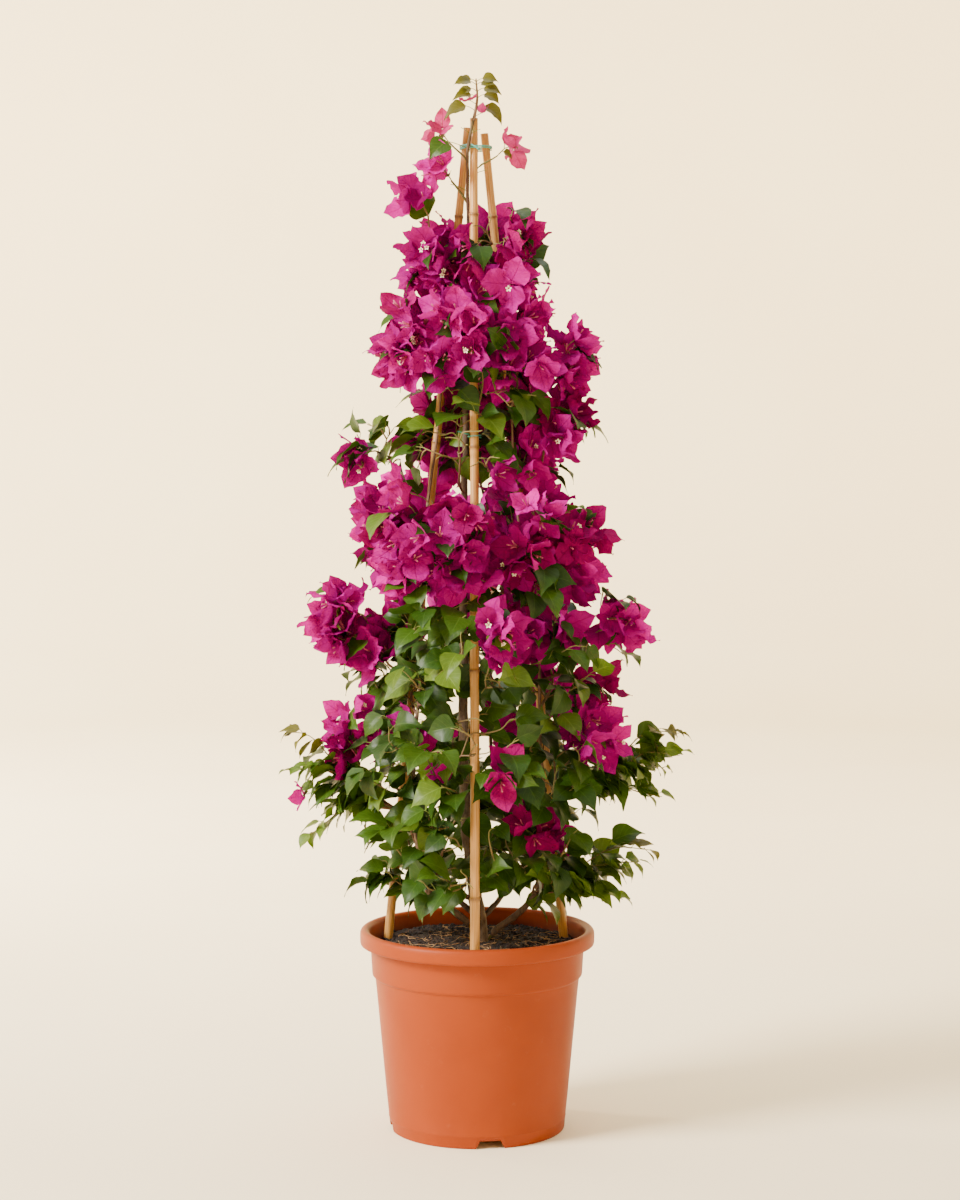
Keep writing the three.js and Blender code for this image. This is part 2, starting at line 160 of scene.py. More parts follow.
@dataclass(frozen=True)
class MouldedPolypropylene:
    """Injection-moulded polypropylene in a terracotta colour.

    The mould's fine grain gives it a soft satin sheen, and handling leaves faint pale scuffs.
    """

    name: str = "moulded_polypropylene"
    colour: str = "8B370E"
    worn: str = "903B12"
    shade: str = "86340C"
    # the dark colour of the painted shade on the inner wall, where shadow falls inside the pot
    painted_inner_shade: str = "4A1A0A"
    grain_mm: float = 0.9  # the mould's spark texture, drawn coarser than life so that it shows
    fade_mm: float = 111.11
    scuff_mm: float = 16.667
    dust: str = "D8A080"
    dust_share: float = 0.07
    # how strongly the painted shade darkens the inner wall
    inner_shade_share: float = 0.9
    roughness: float = 0.46

    def material(self) -> bpy.types.Material:
        """Build the material."""
        material, tree = new_material(self.name)
        place = add(tree, "ShaderNodeTexCoord").outputs["Object"]
        fading = {"Vector": place, "Scale": 1 / (self.fade_mm * MM), "Detail": 4.0}
        cloud = add(tree, "ShaderNodeTexNoise", fading)
        stops = [(0.3, self.shade), (0.5, self.colour), (0.75, self.worn)]
        colour = add(tree, "ShaderNodeValToRGB", {"Fac": cloud.outputs["Fac"]}, stops).outputs["Color"]
        sparks = {"Vector": place, "Scale": 1 / (self.grain_mm * MM), "Detail": 2.0}
        grain = add(tree, "ShaderNodeTexNoise", sparks).outputs["Fac"]
        # dry dust and handling marks lie in pale scuffs
        scuffs = {"Vector": place, "Scale": 1 / (self.scuff_mm * MM), "Detail": 6.0, "Roughness": 0.7}
        scuff = add(tree, "ShaderNodeTexNoise", scuffs).outputs["Fac"]
        dusty = add(tree, "ShaderNodeMapRange", {"Value": scuff, "From Min": 0.62, "From Max": 0.8})
        shares = {0: dusty.outputs[0], 1: self.dust_share}
        dust = add(tree, "ShaderNodeMath", shares, operation="MULTIPLY").outputs[0]
        dusted = {0: dust, 6: colour, 7: linear(self.dust)}
        colour = add(tree, "ShaderNodeMix", dusted, data_type="RGBA").outputs[2]
        # the wall inside the pot, over the compost, is painted darker: a painted shade for the shadow that
        # falls inside the pot
        inside = add(tree, "ShaderNodeAttribute", attribute_name="inside").outputs["Fac"]
        shares = {0: inside, 1: self.inner_shade_share}
        inner_shade_amount = add(tree, "ShaderNodeMath", shares, operation="MULTIPLY").outputs[0]
        painted_inner_shade = {0: inner_shade_amount, 6: colour, 7: linear(self.painted_inner_shade)}
        colour = add(tree, "ShaderNodeMix", painted_inner_shade, data_type="RGBA").outputs[2]
        satin = {"Value": grain, "To Min": self.roughness - 0.05, "To Max": self.roughness + 0.09}
        gloss = add(tree, "ShaderNodeMapRange", satin).outputs[0]
        bump = add(tree, "ShaderNodeBump", {"Height": grain, "Strength": 0.12, "Distance": 0.2 * MM})
        normal = bump.outputs[0]
        skin = {"Base Color": colour, "Roughness": gloss, "Normal": normal, "Specular IOR Level": 0.15}
        shader = add(tree, "ShaderNodeBsdfPrincipled", skin)
        add(tree, "ShaderNodeOutputMaterial", {"Surface": shader.outputs[0]})
        return material


@dataclass(frozen=True)
class Peat:
    """Damp potting compost: dark brown crumbs with no shine, lighter on the tops that have dried."""

    name: str = "potting_compost"
    stops: tuple[tuple[float, str], ...] = (
        (0.32, "0C0704"), (0.5, "1E120B"), (0.64, "3A2416"), (0.8, "6A4628")
    )
    crumb_mm: float = 4.0
    roughness: float = 0.93

    def material(self) -> bpy.types.Material:
        """Build the material."""
        material, tree = new_material(self.name)
        place = add(tree, "ShaderNodeTexCoord").outputs["Object"]
        crumbs = {"Vector": place, "Scale": 1 / (self.crumb_mm * MM), "Detail": 6.0, "Roughness": 0.7}
        lumps = add(tree, "ShaderNodeTexNoise", crumbs).outputs["Fac"]
        colour = add(tree, "ShaderNodeValToRGB", {"Fac": lumps}, self.stops).outputs["Color"]
        bump = add(tree, "ShaderNodeBump", {"Height": lumps, "Strength": 0.8, "Distance": 1.5 * MM})
        damp = {"Base Color": colour, "Roughness": self.roughness, "Normal": bump.outputs[0]}
        shader = add(tree, "ShaderNodeBsdfPrincipled", damp)
        add(tree, "ShaderNodeOutputMaterial", {"Surface": shader.outputs[0]})
        return material


@dataclass(frozen=True)
class PlainGrain:
    """A matt mineral or woody grain of one colour, mottled at its own scale."""

    name: str
    colour: str
    dark: str
    mottle_mm: float
    roughness: float

    def material(self) -> bpy.types.Material:
        """Build the material."""
        material, tree = new_material(self.name)
        place = add(tree, "ShaderNodeTexCoord").outputs["Object"]
        scale = 1 / (self.mottle_mm * MM)
        noise = add(tree, "ShaderNodeTexNoise", {"Vector": place, "Scale": scale, "Detail": 3.0})
        mottle = noise.outputs["Fac"]
        stops = [(0.35, self.dark), (0.6, self.colour)]
        colour = add(tree, "ShaderNodeValToRGB", {"Fac": mottle}, stops).outputs["Color"]
        bump = add(tree, "ShaderNodeBump", {"Height": mottle, "Strength": 0.4, "Distance": 0.3 * MM})
        matt = {"Base Color": colour, "Roughness": self.roughness, "Normal": bump.outputs[0]}
        shader = add(tree, "ShaderNodeBsdfPrincipled", matt)
        add(tree, "ShaderNodeOutputMaterial", {"Surface": shader.outputs[0]})
        return material


@dataclass(frozen=True)
class BambooRind:
    """Dry bamboo: a hard waxy rind with a soft shine, straw coloured, with fibres lengthwise.

    The piece's UV map runs round the cane in u and along it, in metres, in v. Its scar attribute is one
    on a knuckle.
    """

    name: str = "dry_bamboo"
    straw: str = "B98745"
    pale: str = "C99A5C"
    amber: str = "976427"
    scar: str = "6E4A26"
    fibre_mm: float = 1.3
    streak_mm: float = 71.43
    weather_mm: float = 166.67
    girth_mm: float = 36.0
    roughness: float = 0.42

    def material(self) -> bpy.types.Material:
        """Build the material."""
        material, tree = new_material(self.name)
        way = add(tree, "ShaderNodeUVMap", uv_map="UVMap").outputs[0]
        # fibres are narrow round the cane and long down it
        narrow, long = self.girth_mm / self.fibre_mm, 1 / (self.streak_mm * MM)
        lengthwise = {"Vector": way, "Scale": (narrow, long, 1.0)}
        stretch = add(tree, "ShaderNodeMapping", lengthwise).outputs[0]
        fibre = add(
            tree, "ShaderNodeTexNoise", {"Vector": stretch, "Scale": 1.0, "Detail": 3.0}
        ).outputs["Fac"]
        patches = {"Vector": way, "Scale": (2.0, 1 / (self.weather_mm * MM), 1.0)}
        slow = add(tree, "ShaderNodeMapping", patches).outputs[0]
        cloud = add(tree, "ShaderNodeTexNoise", {"Vector": slow, "Scale": 1.0, "Detail": 2.0}).outputs["Fac"]
        stops = [(0.3, self.amber), (0.47, self.straw), (0.7, self.pale)]
        colour = add(tree, "ShaderNodeValToRGB", {"Fac": fibre}, stops).outputs["Color"]
        weathered = add(tree, "ShaderNodeMath", {0: cloud, 1: 0.3}, operation="MULTIPLY").outputs[0]
        tinted = {0: weathered, 6: colour, 7: linear(self.amber)}
        colour = add(tree, "ShaderNodeMix", tinted, data_type="RGBA").outputs[2]
        # the leaf sheaths leave a brown blotchy scar on each knuckle
        scar = add(tree, "ShaderNodeAttribute", attribute_name="scar").outputs["Fac"]
        ragged = add(tree, "ShaderNodeMath", {0: fibre, 1: 0.35}, operation="ADD").outputs[0]
        blotch = add(tree, "ShaderNodeMath", {0: scar, 1: ragged}, operation="MULTIPLY").outputs[0]
        scarred = {0: blotch, 6: colour, 7: linear(self.scar)}
        colour = add(tree, "ShaderNodeMix", scarred, data_type="RGBA").outputs[2]
        bump = add(tree, "ShaderNodeBump", {"Height": fibre, "Strength": 0.25, "Distance": 0.3 * MM})
        waxy = {"Base Color": colour, "Roughness": self.roughness, "Normal": bump.outputs[0], "IOR": 1.5}
        shader = add(tree, "ShaderNodeBsdfPrincipled", waxy)
        add(tree, "ShaderNodeOutputMaterial", {"Surface": shader.outputs[0]})
        return material


@dataclass(frozen=True)
class WireCoating:
    """Green-blue PVC on garden wire: smooth, slightly glossy, and faded in patches by the sun."""

    name: str = "pvc_wire_coating"
    colour: str = "2C8C7C"
    faded: str = "58A99B"
    fade_mm: float = 3.3333
    roughness: float = 0.38

    def material(self) -> bpy.types.Material:
        """Build the material."""
        material, tree = new_material(self.name)
        place = add(tree, "ShaderNodeTexCoord").outputs["Object"]
        scale = 1 / (self.fade_mm * MM)
        cloud = add(tree, "ShaderNodeTexNoise", {"Vector": place, "Scale": scale, "Detail": 2.0})
        stops = [(0.4, self.colour), (0.7, self.faded)]
        colour = add(tree, "ShaderNodeValToRGB", {"Fac": cloud.outputs["Fac"]}, stops).outputs["Color"]
        vinyl = {"Base Color": colour, "Roughness": self.roughness, "IOR": 1.52}
        shader = add(tree, "ShaderNodeBsdfPrincipled", vinyl)
        add(tree, "ShaderNodeOutputMaterial", {"Surface": shader.outputs[0]})
        return material


@dataclass(frozen=True)
class Bark:
    """Bougainvillea bark: grey brown and fissured on old wood, smooth green on shoots.

    The age attribute runs from nought on a shoot to one on the trunk.
    """

    name: str
    young: str = "6E7A2E"
    middle: str = "4E3322"
    old: str = "675443"
    crevice: str = "2A1C13"
    fissure_mm: float = 3.5
    roughness: float = 0.72

    def material(self) -> bpy.types.Material:
        """Build the material."""
        material, tree = new_material(self.name)
        place = add(tree, "ShaderNodeTexCoord").outputs["Object"]
        stretch = add(tree, "ShaderNodeMapping", {"Vector": place, "Scale": (1.0, 1.0, 0.3)})
        scale = 1 / (self.fissure_mm * MM)
        cracks = {"Vector": stretch.outputs[0], "Scale": scale, "Detail": 5.0, "Roughness": 0.65}
        fissure = add(tree, "ShaderNodeTexNoise", cracks).outputs["Fac"]
        age = add(tree, "ShaderNodeAttribute", attribute_name="age").outputs["Fac"]
        stops = [(0.05, self.young), (0.3, self.middle), (0.75, self.old)]
        colour = add(tree, "ShaderNodeValToRGB", {"Fac": age}, stops).outputs["Color"]
        # old wood cracks into dark crevices, and young shoots hardly at all
        dark = add(tree, "ShaderNodeMapRange", {"Value": fissure, "From Min": 0.55, "From Max": 0.35})
        aged = add(tree, "ShaderNodeMath", {0: age, 1: 0.7, 2: 0.15}, operation="MULTIPLY_ADD").outputs[0]
        cracked = add(tree, "ShaderNodeMath", {0: dark.outputs[0], 1: aged}, operation="MULTIPLY").outputs[0]
        creviced = {0: cracked, 6: colour, 7: linear(self.crevice)}
        colour = add(tree, "ShaderNodeMix", creviced, data_type="RGBA").outputs[2]
        bump = add(tree, "ShaderNodeBump", {"Height": fissure, "Strength": 0.6, "Distance": 0.6 * MM})
        rough = {"Base Color": colour, "Roughness": self.roughness, "Normal": bump.outputs[0]}
        shader = add(tree, "ShaderNodeBsdfPrincipled", rough)
        add(tree, "ShaderNodeOutputMaterial", {"Surface": shader.outputs[0]})
        return material


@dataclass(frozen=True)
class LeafBlade:
    """A living leaf or bract: one tone, lit through from behind, with its veins drawn by its UV map.

    A leaf's waxy skin catches a soft shine, and a bract's papery one glows with the light behind it.
    u runs across the blade and v from its stalk to its tip. The shade attribute makes each blade a
    little lighter or darker.
    """

    name: str
    colour: str
    vein: str
    glow: str
    roughness: float = 0.42
    through: float = 0.16
    vein_show: float = 0.35
    spread: float = 0.28
    vein_pairs: float = 6.0
    crinkle: float = 0.25
    crinkle_mm: float = 5.0
    gloss: float = 0.3

    def veins(self, tree: bpy.types.NodeTree) -> bpy.types.NodeSocket:
        """Draw the midrib and the side veins.

        Args:
            tree: The material's tree.

        Returns:
            One on a vein and nought between them.
        """
        uv = add(tree, "ShaderNodeSeparateXYZ", {0: add(tree, "ShaderNodeUVMap", uv_map="UVMap").outputs[0]})
        centred = add(tree, "ShaderNodeMath", {0: uv.outputs[0], 1: 0.5}, operation="SUBTRACT").outputs[0]
        across = add(tree, "ShaderNodeMath", {0: centred}, operation="ABSOLUTE").outputs[0]
        # side veins leave the midrib in pairs and slant towards the tip
        slant = add(tree, "ShaderNodeMath", {0: across, 1: 0.7}, operation="MULTIPLY").outputs[0]
        rise = add(tree, "ShaderNodeMath", {0: uv.outputs[1], 1: slant}, operation="SUBTRACT").outputs[0]
        pairs = self.vein_pairs * 2 * math.pi
        phase = add(tree, "ShaderNodeMath", {0: rise, 1: pairs}, operation="MULTIPLY").outputs[0]
        wave = add(tree, "ShaderNodeMath", {0: phase}, operation="SINE").outputs[0]
        side = add(tree, "ShaderNodeMapRange", {"Value": wave, "From Min": 0.86, "From Max": 1.0}).outputs[0]
        midrib = add(tree, "ShaderNodeMapRange", {"Value": across, "From Min": 0.035, "From Max": 0.005})
        faint = add(tree, "ShaderNodeMath", {0: side, 1: 0.55}, operation="MULTIPLY").outputs[0]
        return add(tree, "ShaderNodeMath", {0: faint, 1: midrib.outputs[0]}, operation="MAXIMUM").outputs[0]

    def material(self) -> bpy.types.Material:
        """Build the material."""
        material, tree = new_material(self.name)
        place = add(tree, "ShaderNodeTexCoord").outputs["Object"]
        veins = self.veins(tree)
        scale = 1 / (self.crinkle_mm * MM)
        cloud = add(
            tree, "ShaderNodeTexNoise", {"Vector": place, "Scale": scale, "Detail": 3.0}
        ).outputs["Fac"]
        # no two blades of a spray are quite the same tone, and none is even all over
        shade = add(tree, "ShaderNodeAttribute", attribute_name="shade").outputs["Fac"]
        own_tone = {0: shade, 1: self.spread, 2: 1.0 - self.spread / 2}
        value = add(tree, "ShaderNodeMath", own_tone, operation="MULTIPLY_ADD").outputs[0]
        uneven = add(tree, "ShaderNodeMath", {0: cloud, 1: 0.5, 2: 0.75}, operation="MULTIPLY_ADD").outputs[0]
        value = add(tree, "ShaderNodeMath", {0: value, 1: uneven}, operation="MULTIPLY").outputs[0]
        toned = add(
            tree, "ShaderNodeHueSaturation", {"Color": linear(self.colour), "Value": value}
        ).outputs[0]
        shown = add(tree, "ShaderNodeMath", {0: veins, 1: self.vein_show}, operation="MULTIPLY").outputs[0]
        veined = {0: shown, 6: toned, 7: linear(self.vein)}
        colour = add(tree, "ShaderNodeMix", veined, data_type="RGBA").outputs[2]
        # veins are sunk into the papery or leathery surface
        sunk = add(tree, "ShaderNodeMath", {0: veins, 1: 0.6}, operation="MULTIPLY").outputs[0]
        height = add(tree, "ShaderNodeMath", {0: cloud, 1: sunk}, operation="SUBTRACT").outputs[0]
        bump = add(tree, "ShaderNodeBump", {"Height": height, "Strength": self.crinkle, "Distance": 0.8 * MM})
        cuticle = {
            "Base Color": colour,
            "Roughness": self.roughness,
            "Normal": bump.outputs[0],
            "Specular IOR Level": self.gloss,
        }
        skin = add(tree, "ShaderNodeBsdfPrincipled", cuticle)
        glowing = {0: 0.5, 6: colour, 7: linear(self.glow)}
        lit = add(tree, "ShaderNodeMix", glowing, data_type="RGBA").outputs[2]
        behind = add(tree, "ShaderNodeBsdfTranslucent", {"Color": lit, "Normal": bump.outputs[0]})
        both = add(tree, "ShaderNodeMixShader", {0: self.through, 1: skin.outputs[0], 2: behind.outputs[0]})
        add(tree, "ShaderNodeOutputMaterial", {"Surface": both.outputs[0]})
        return material


# ---------------------------------------------------------------- meshes


@dataclass
class MeshPile:
    """Gathers many small meshes and joins them into one object."""

    points: list[Array] = field(default_factory=list)
    faces: list[Array] = field(default_factory=list)
    uvs: list[Array] = field(default_factory=list)
    marks: list[Array] = field(default_factory=list)
    total: int = 0

    def add(
        self,
        points: Array,
        faces: Iterable[Array],
        uv: Array | None = None,
        mark: float | Array = 0.0,
    ) -> None:
        """Put one mesh on the pile.

        Args:
            points: Its vertices.
            faces: Blocks of faces, each with one number of corners.
            uv: A UV pair for each vertex.
            mark: One number for the piece, or one for each vertex.
        """
        count = len(points)
        self.points.append(points)
        self.faces.extend(np.asarray(block) + self.total for block in faces)
        self.uvs.append(np.zeros((count, 2)) if uv is None else uv)
        self.marks.append(np.broadcast_to(np.asarray(mark, float), (count,)))
        self.total += count

    def build(self, name: str, material: bpy.types.Material, mark: str = "shade") -> bpy.types.Object:
        """Join the pile into one object.

        Args:
            name: The object's name.
            material: What it is made of.
            mark: The name of the attribute that takes the marks.

        Returns:
            The new object.
        """
        mesh = bpy.data.meshes.new(name)
        corners = np.concatenate([block.ravel() for block in self.faces]).astype(np.int32)
        totals = np.concatenate(
            [np.full(len(block), block.shape[1]) for block in self.faces]
        ).astype(np.int32)
        mesh.vertices.add(self.total)
        mesh.vertices.foreach_set("co", np.concatenate(self.points).astype(np.float32).ravel())
        mesh.loops.add(len(corners))
        mesh.loops.foreach_set("vertex_index", corners)
        mesh.polygons.add(len(totals))
        mesh.polygons.foreach_set(
            "loop_start", np.concatenate([[0], np.cumsum(totals)[:-1]]).astype(np.int32)
        )
        mesh.polygons.foreach_set("use_smooth", np.full(len(totals), True))
        uv = mesh.uv_layers.new(name="UVMap")
        uv.data.foreach_set("uv", np.concatenate(self.uvs)[corners].astype(np.float32).ravel())
        marks = mesh.attributes.new(mark, "FLOAT", "POINT")
        marks.data.foreach_set("value", np.concatenate(self.marks).astype(np.float32))
        mesh.update(calc_edges=True)
        mesh.validate()
        mesh.materials.append(material)
        made = bpy.data.objects.new(name, mesh)
        bpy.context.scene.collection.objects.link(made)
        return made


def finished(piece: bpy.types.Object, nodes: Sequence[str] = ()) -> bpy.types.Object:
    """Hand a piece to the frame.

    Args:
        piece: The finished object.
        nodes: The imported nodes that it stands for.

    Returns:
        The same object.
    """
    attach(piece, "root")
    if nodes:
        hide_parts(*nodes)
    piece.data.calc_loop_triangles()
    log.info("%s: %d triangles", piece.name, len(piece.data.loop_triangles))
    return piece


def unit(vector: Array) -> Array:
    """Scale vectors to length one, along the last axis."""
    return vector / np.maximum(np.linalg.norm(vector, axis=-1, keepdims=True), 1e-12)


def facing(axis: Array, normal: Array) -> Array:
    """Make a turn that lays local Y along an axis and local Z near a normal.

    Args:
        axis: Where local Y goes.
        normal: Where local Z should go.

    Returns:
        A matrix whose rows are the local axes in space.
    """
    y = unit(axis)
    x = unit(np.cross(y, normal))
    return np.stack([x, y, np.cross(x, y)])


def grid_faces(rows: int, columns: int, wrap: bool = False) -> Array:
    """Quads of a grid of vertices stored row by row.

    Args:
        rows: Rows of vertices.
        columns: Vertices in a row.
        wrap: Whether the last column joins the first.

    Returns:
        One quad in each row of the array.
    """
    r, c = np.meshgrid(np.arange(rows - 1), np.arange(columns if wrap else columns - 1), indexing="ij")
    right = (c + 1) % columns
    row, above = r * columns, (r + 1) * columns
    return np.stack([row + c, row + right, above + right, above + c], -1).reshape(-1, 4)


def smooth_path(points: Sequence[Array], count: int) -> Array:
    """Run a Catmull-Rom curve through points, at even steps.

    Args:
        points: The points that it passes.
        count: How many points to return.

    Returns:
        Points along the curve.
    """
    p = np.asarray(points, float)
    p = np.vstack([2 * p[0] - p[1], p, 2 * p[-1] - p[-2]])
    fine = []
    for i in range(len(p) - 3):
        t = np.linspace(0, 1, 12, endpoint=False)[:, None]
        a, b, c, d = p[i : i + 4]
        square, cube = (2 * a - 5 * b + 4 * c - d) * t**2, (3 * b - a - 3 * c + d) * t**3
        fine.append(0.5 * (2 * b + (c - a) * t + square + cube))
    curve = np.vstack([*fine, p[-2][None]])
    run = along(curve)
    at = np.linspace(0, run[-1], count)
    return np.stack([np.interp(at, run, curve[:, k]) for k in range(3)], 1)


def point_at(path: Array, run: Array, at: float) -> Array:
    """The point of a path at a distance from its start, given how far each of its points is."""
    return np.array([np.interp(at, run, path[:, k]) for k in range(3)])


def along(path: Array) -> Array:
    """How far each point of a path is from its start, in metres."""
    return np.concatenate([[0], np.cumsum(np.linalg.norm(np.diff(path, axis=0), axis=1))])


def path_frames(path: Array) -> tuple[Array, Array, Array]:
    """Carry a pair of side directions along a path without twist.

    Args:
        path: Points along it.

    Returns:
        Tangents and two directions square to them.
    """
    tangent = unit(np.gradient(path, axis=0))
    start = UP if abs(tangent[0][2]) < 0.9 else np.array([1.0, 0.0, 0.0])
    side = [unit(np.cross(tangent[0], start))]
    for t in tangent[1:]:
        side.append(unit(side[-1] - t * np.dot(side[-1], t)))
    sides = np.array(side)
    return tangent, sides, np.cross(tangent, sides)


def tube(
    path: Array,
    radius: Array,
    sides: int,
    relief: Array | None = None,
) -> tuple[Array, list, Array]:
    """Sweep a closed tube along a path.

    Args:
        path: Points along its middle.
        radius: Its radius at each point.
        sides: How many sides it has.
        relief: Metres to add to the radius, for each point and side.

    Returns:
        Vertices, blocks of faces, and a UV pair for each vertex: round it, and along it in metres.
    """
    _, first, second = path_frames(path)
    turn = np.linspace(0, 2 * math.pi, sides, endpoint=False)
    reach = radius[:, None] + (0 if relief is None else relief)
    ring = np.cos(turn)[None, :, None] * first[:, None] + np.sin(turn)[None, :, None] * second[:, None]
    points = (path[:, None] + ring * reach[..., None]).reshape(-1, 3)
    ends = [np.arange(sides)[::-1][None], (np.arange(sides) + (len(path) - 1) * sides)[None]]
    uv = np.stack(np.broadcast_arrays(turn[None] / (2 * math.pi), along(path)[:, None]), -1).reshape(-1, 2)
    return points, [grid_faces(len(path), sides, wrap=True), *ends], uv


def wobble(values: Array, seed: float) -> Array:
    """A smooth repeatable wander between about minus one and one, for an array of places."""
    slow = np.sin(values * 1.0 + seed)
    middling = 0.6 * np.sin(values * 2.3 + 1.7 * seed)
    quick = 0.35 * np.sin(values * 5.1 + 2.9 * seed)
    return (slow + middling + quick) / 1.95


def lathe(
    profile: Sequence[tuple[float, float]],
    columns: Array,
    lift: Array | None = None,
) -> tuple[Array, list]:
    """Turn a profile that starts and ends on the axis.

    Args:
        profile: Radius and height of each point; the first and the last are poles.
        columns: The angles of the columns.
        lift: The least height of each column.

    Returns:
        Vertices and blocks of faces.
    """
    body = np.array(profile[1:-1])
    height = np.repeat(body[:, 1][:, None], len(columns), 1)
    if lift is not None:
        height = np.maximum(height, lift[None])
    radius = body[:, 0][:, None]
    ring = np.stack([radius * np.cos(columns), radius * np.sin(columns), height], -1).reshape(-1, 3)
    poles = np.array([[0, 0, profile[0][1]], [0, 0, profile[-1][1]]])
    count = len(columns)
    step = np.arange(count)
    following = (step + 1) % count
    last = (len(body) - 1) * count
    low = np.stack([np.full(count, len(ring)), following, step], 1)
    high = np.stack([np.full(count, len(ring) + 1), last + step, last + following], 1)
    return np.vstack([ring, poles]), [grid_faces(len(body), count, wrap=True), low, high]


# ---------------------------------------------------------------- the pot and what fills it


@dataclass
class Pot:
    """The moulded pot: a tapering body on a notched foot, a collar with a step, and a rolled rim."""

    finish: MouldedPolypropylene = MouldedPolypropylene()
    rim_height: float = 19.5 * MM
    wall: float = 2.6 * MM
    notch_count: int = 4
    notch_turn_deg: float = 278.5
    notch_top: float = 26 * MM
    notch_foot: float = 37 * MM
    notch_height: float = 10.5 * MM
    seam_height: float = 16 * MM
    inside_depth: float = 60 * MM
    columns: int = 168

    def read_frame(self) -> None:
        """Take the pot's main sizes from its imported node."""
        low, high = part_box("pot")
        self.rim_radius = (high[0] - low[0]) / 2
        self.height = high[2]
        self.foot_radius = 0.7475 * self.rim_radius
        self.collar_radius = 0.913 * self.rim_radius
        self.step_height = 0.776 * self.height
        self.body_top_radius = 0.872 * self.rim_radius

    def foot_lift(self, angles: Array) -> Array:
        """How high the notches raise the foot's edge.

        Args:
            angles: The angles of the columns.

        Returns:
            The least height at each angle.
        """
        lift = np.zeros(len(angles))
        slope_start = self.notch_foot / 2 / self.foot_radius
        slope_end = self.notch_top / 2 / self.foot_radius
        for i in range(self.notch_count):
            middle = math.radians(self.notch_turn_deg + 360 * i / self.notch_count)
            away = np.abs((angles - middle + math.pi) % (2 * math.pi) - math.pi)
            share = np.clip((slope_start - away) / (slope_start - slope_end), 0, 1)
            lift = np.maximum(lift, share * self.notch_height)
        return lift

    def column_angles(self) -> Array:
        """Even columns, with more at the corners of each notch."""
        angles = list(np.linspace(0, 2 * math.pi, self.columns, endpoint=False))
        corners = [self.notch_foot / 2, self.notch_top / 2]
        for i in range(self.notch_count):
            middle = math.radians(self.notch_turn_deg + 360 * i / self.notch_count)
            for corner in corners:
                for nudge in (-0.6 * MM, 0.0, 0.6 * MM):
                    offset = (corner + nudge) / self.foot_radius
                    angles += [(middle + offset) % (2 * math.pi), (middle - offset) % (2 * math.pi)]
        return np.array(sorted(set(np.round(angles, 6))))

    def rim_roll(self) -> list[tuple[float, float]]:
        """The rim's section, from under its outer lip over the top to its inner edge."""
        top, foot = self.height, self.height - self.rim_height
        outer, inner = self.rim_radius, self.rim_radius - 12.5 * MM
        section = [
            (self.collar_radius + 1.0 * MM, foot + 2.0 * MM),
            (outer - 4.0 * MM, foot + 0.6 * MM),
            (outer - 2.2 * MM, foot),
            (outer - 0.8 * MM, foot + 0.8 * MM),
            (outer - 0.2 * MM, foot + 3.0 * MM),
            (outer, top - 9.0 * MM),
        ]
        crown = 7.5 * MM
        for step in range(1, 10):
            angle = math.pi * step / 10
            shift = (outer - inner) / 2 * (1 - math.cos(angle))
            section.append((outer - shift, top - 7.5 * MM + crown * math.sin(angle) ** 0.8))
        section.append((inner, top - 9.0 * MM))
        return section

    def profile(self) -> list[tuple[float, float]]:
        """The pot's whole section, from the middle of its underside round to the middle of its inside."""
        foot, step = self.foot_radius, self.step_height
        body = self.body_top_radius
        at_seam = foot + (body - foot) * self.seam_height / step
        inside = self.height - self.inside_depth
        slope = (body - foot) / step
        section = [
            (0, self.notch_height + 1.2 * MM),
            (foot - 16 * MM, self.notch_height + 1.2 * MM),
            (foot - 8 * MM, self.notch_height + 1.0 * MM),
            (foot - self.wall - 1.2 * MM, self.notch_height),
            (foot - self.wall - 0.9 * MM, 1.2 * MM),
            (foot - self.wall, 0.2 * MM),
            (foot - 1.6 * MM, 0),
            (foot - 0.5 * MM, 0.9 * MM),
            (foot, 3.0 * MM),
            (at_seam - 0.25 * MM, self.seam_height - 0.8 * MM),
            (at_seam + 0.05 * MM, self.seam_height - 0.25 * MM),
            (at_seam + 0.05 * MM, self.seam_height + 0.25 * MM),
            (at_seam - 0.2 * MM, self.seam_height + 0.8 * MM),
        ]
        for share in (0.25, 0.5, 0.75, 0.9):
            section.append((foot + slope * step * share, step * share))
        section += [
            (body - 0.2 * MM, step - 4.5 * MM),
            (body + 0.3 * MM, step - 3.2 * MM),
            (body + 2.2 * MM, step - 2.0 * MM),
            (body + 3.4 * MM, step - 0.6 * MM),
            (body + 3.7 * MM, step + 1.5 * MM),
            (self.collar_radius - 0.4 * MM, self.height - self.rim_height - 3 * MM),
            (self.collar_radius, self.height - self.rim_height),
        ]
        section += self.rim_roll()
        section += [
            (self.collar_radius - self.wall - 0.6 * MM, self.height - self.rim_height - 6 * MM),
            (body - self.wall - 1.0 * MM, inside),
            (0, inside),
        ]
        return section

    def build(self) -> bpy.types.Object:
        """Build the pot as one closed skin."""
        self.read_frame()
        angles = self.column_angles()
        points, faces = lathe(self.profile(), angles, self.foot_lift(angles))
        # the inner wall's rings, and the poles, are marked for the painted shade inside the pot
        inside = np.zeros(len(points))
        inside[-2 - 2 * len(angles) :] = 1
        pile = MeshPile()
        pile.add(points, faces, mark=inside)
        pot = pile.build("moulded_pot", self.finish.material(), mark="inside")
        return finished(pot, ["pot"])


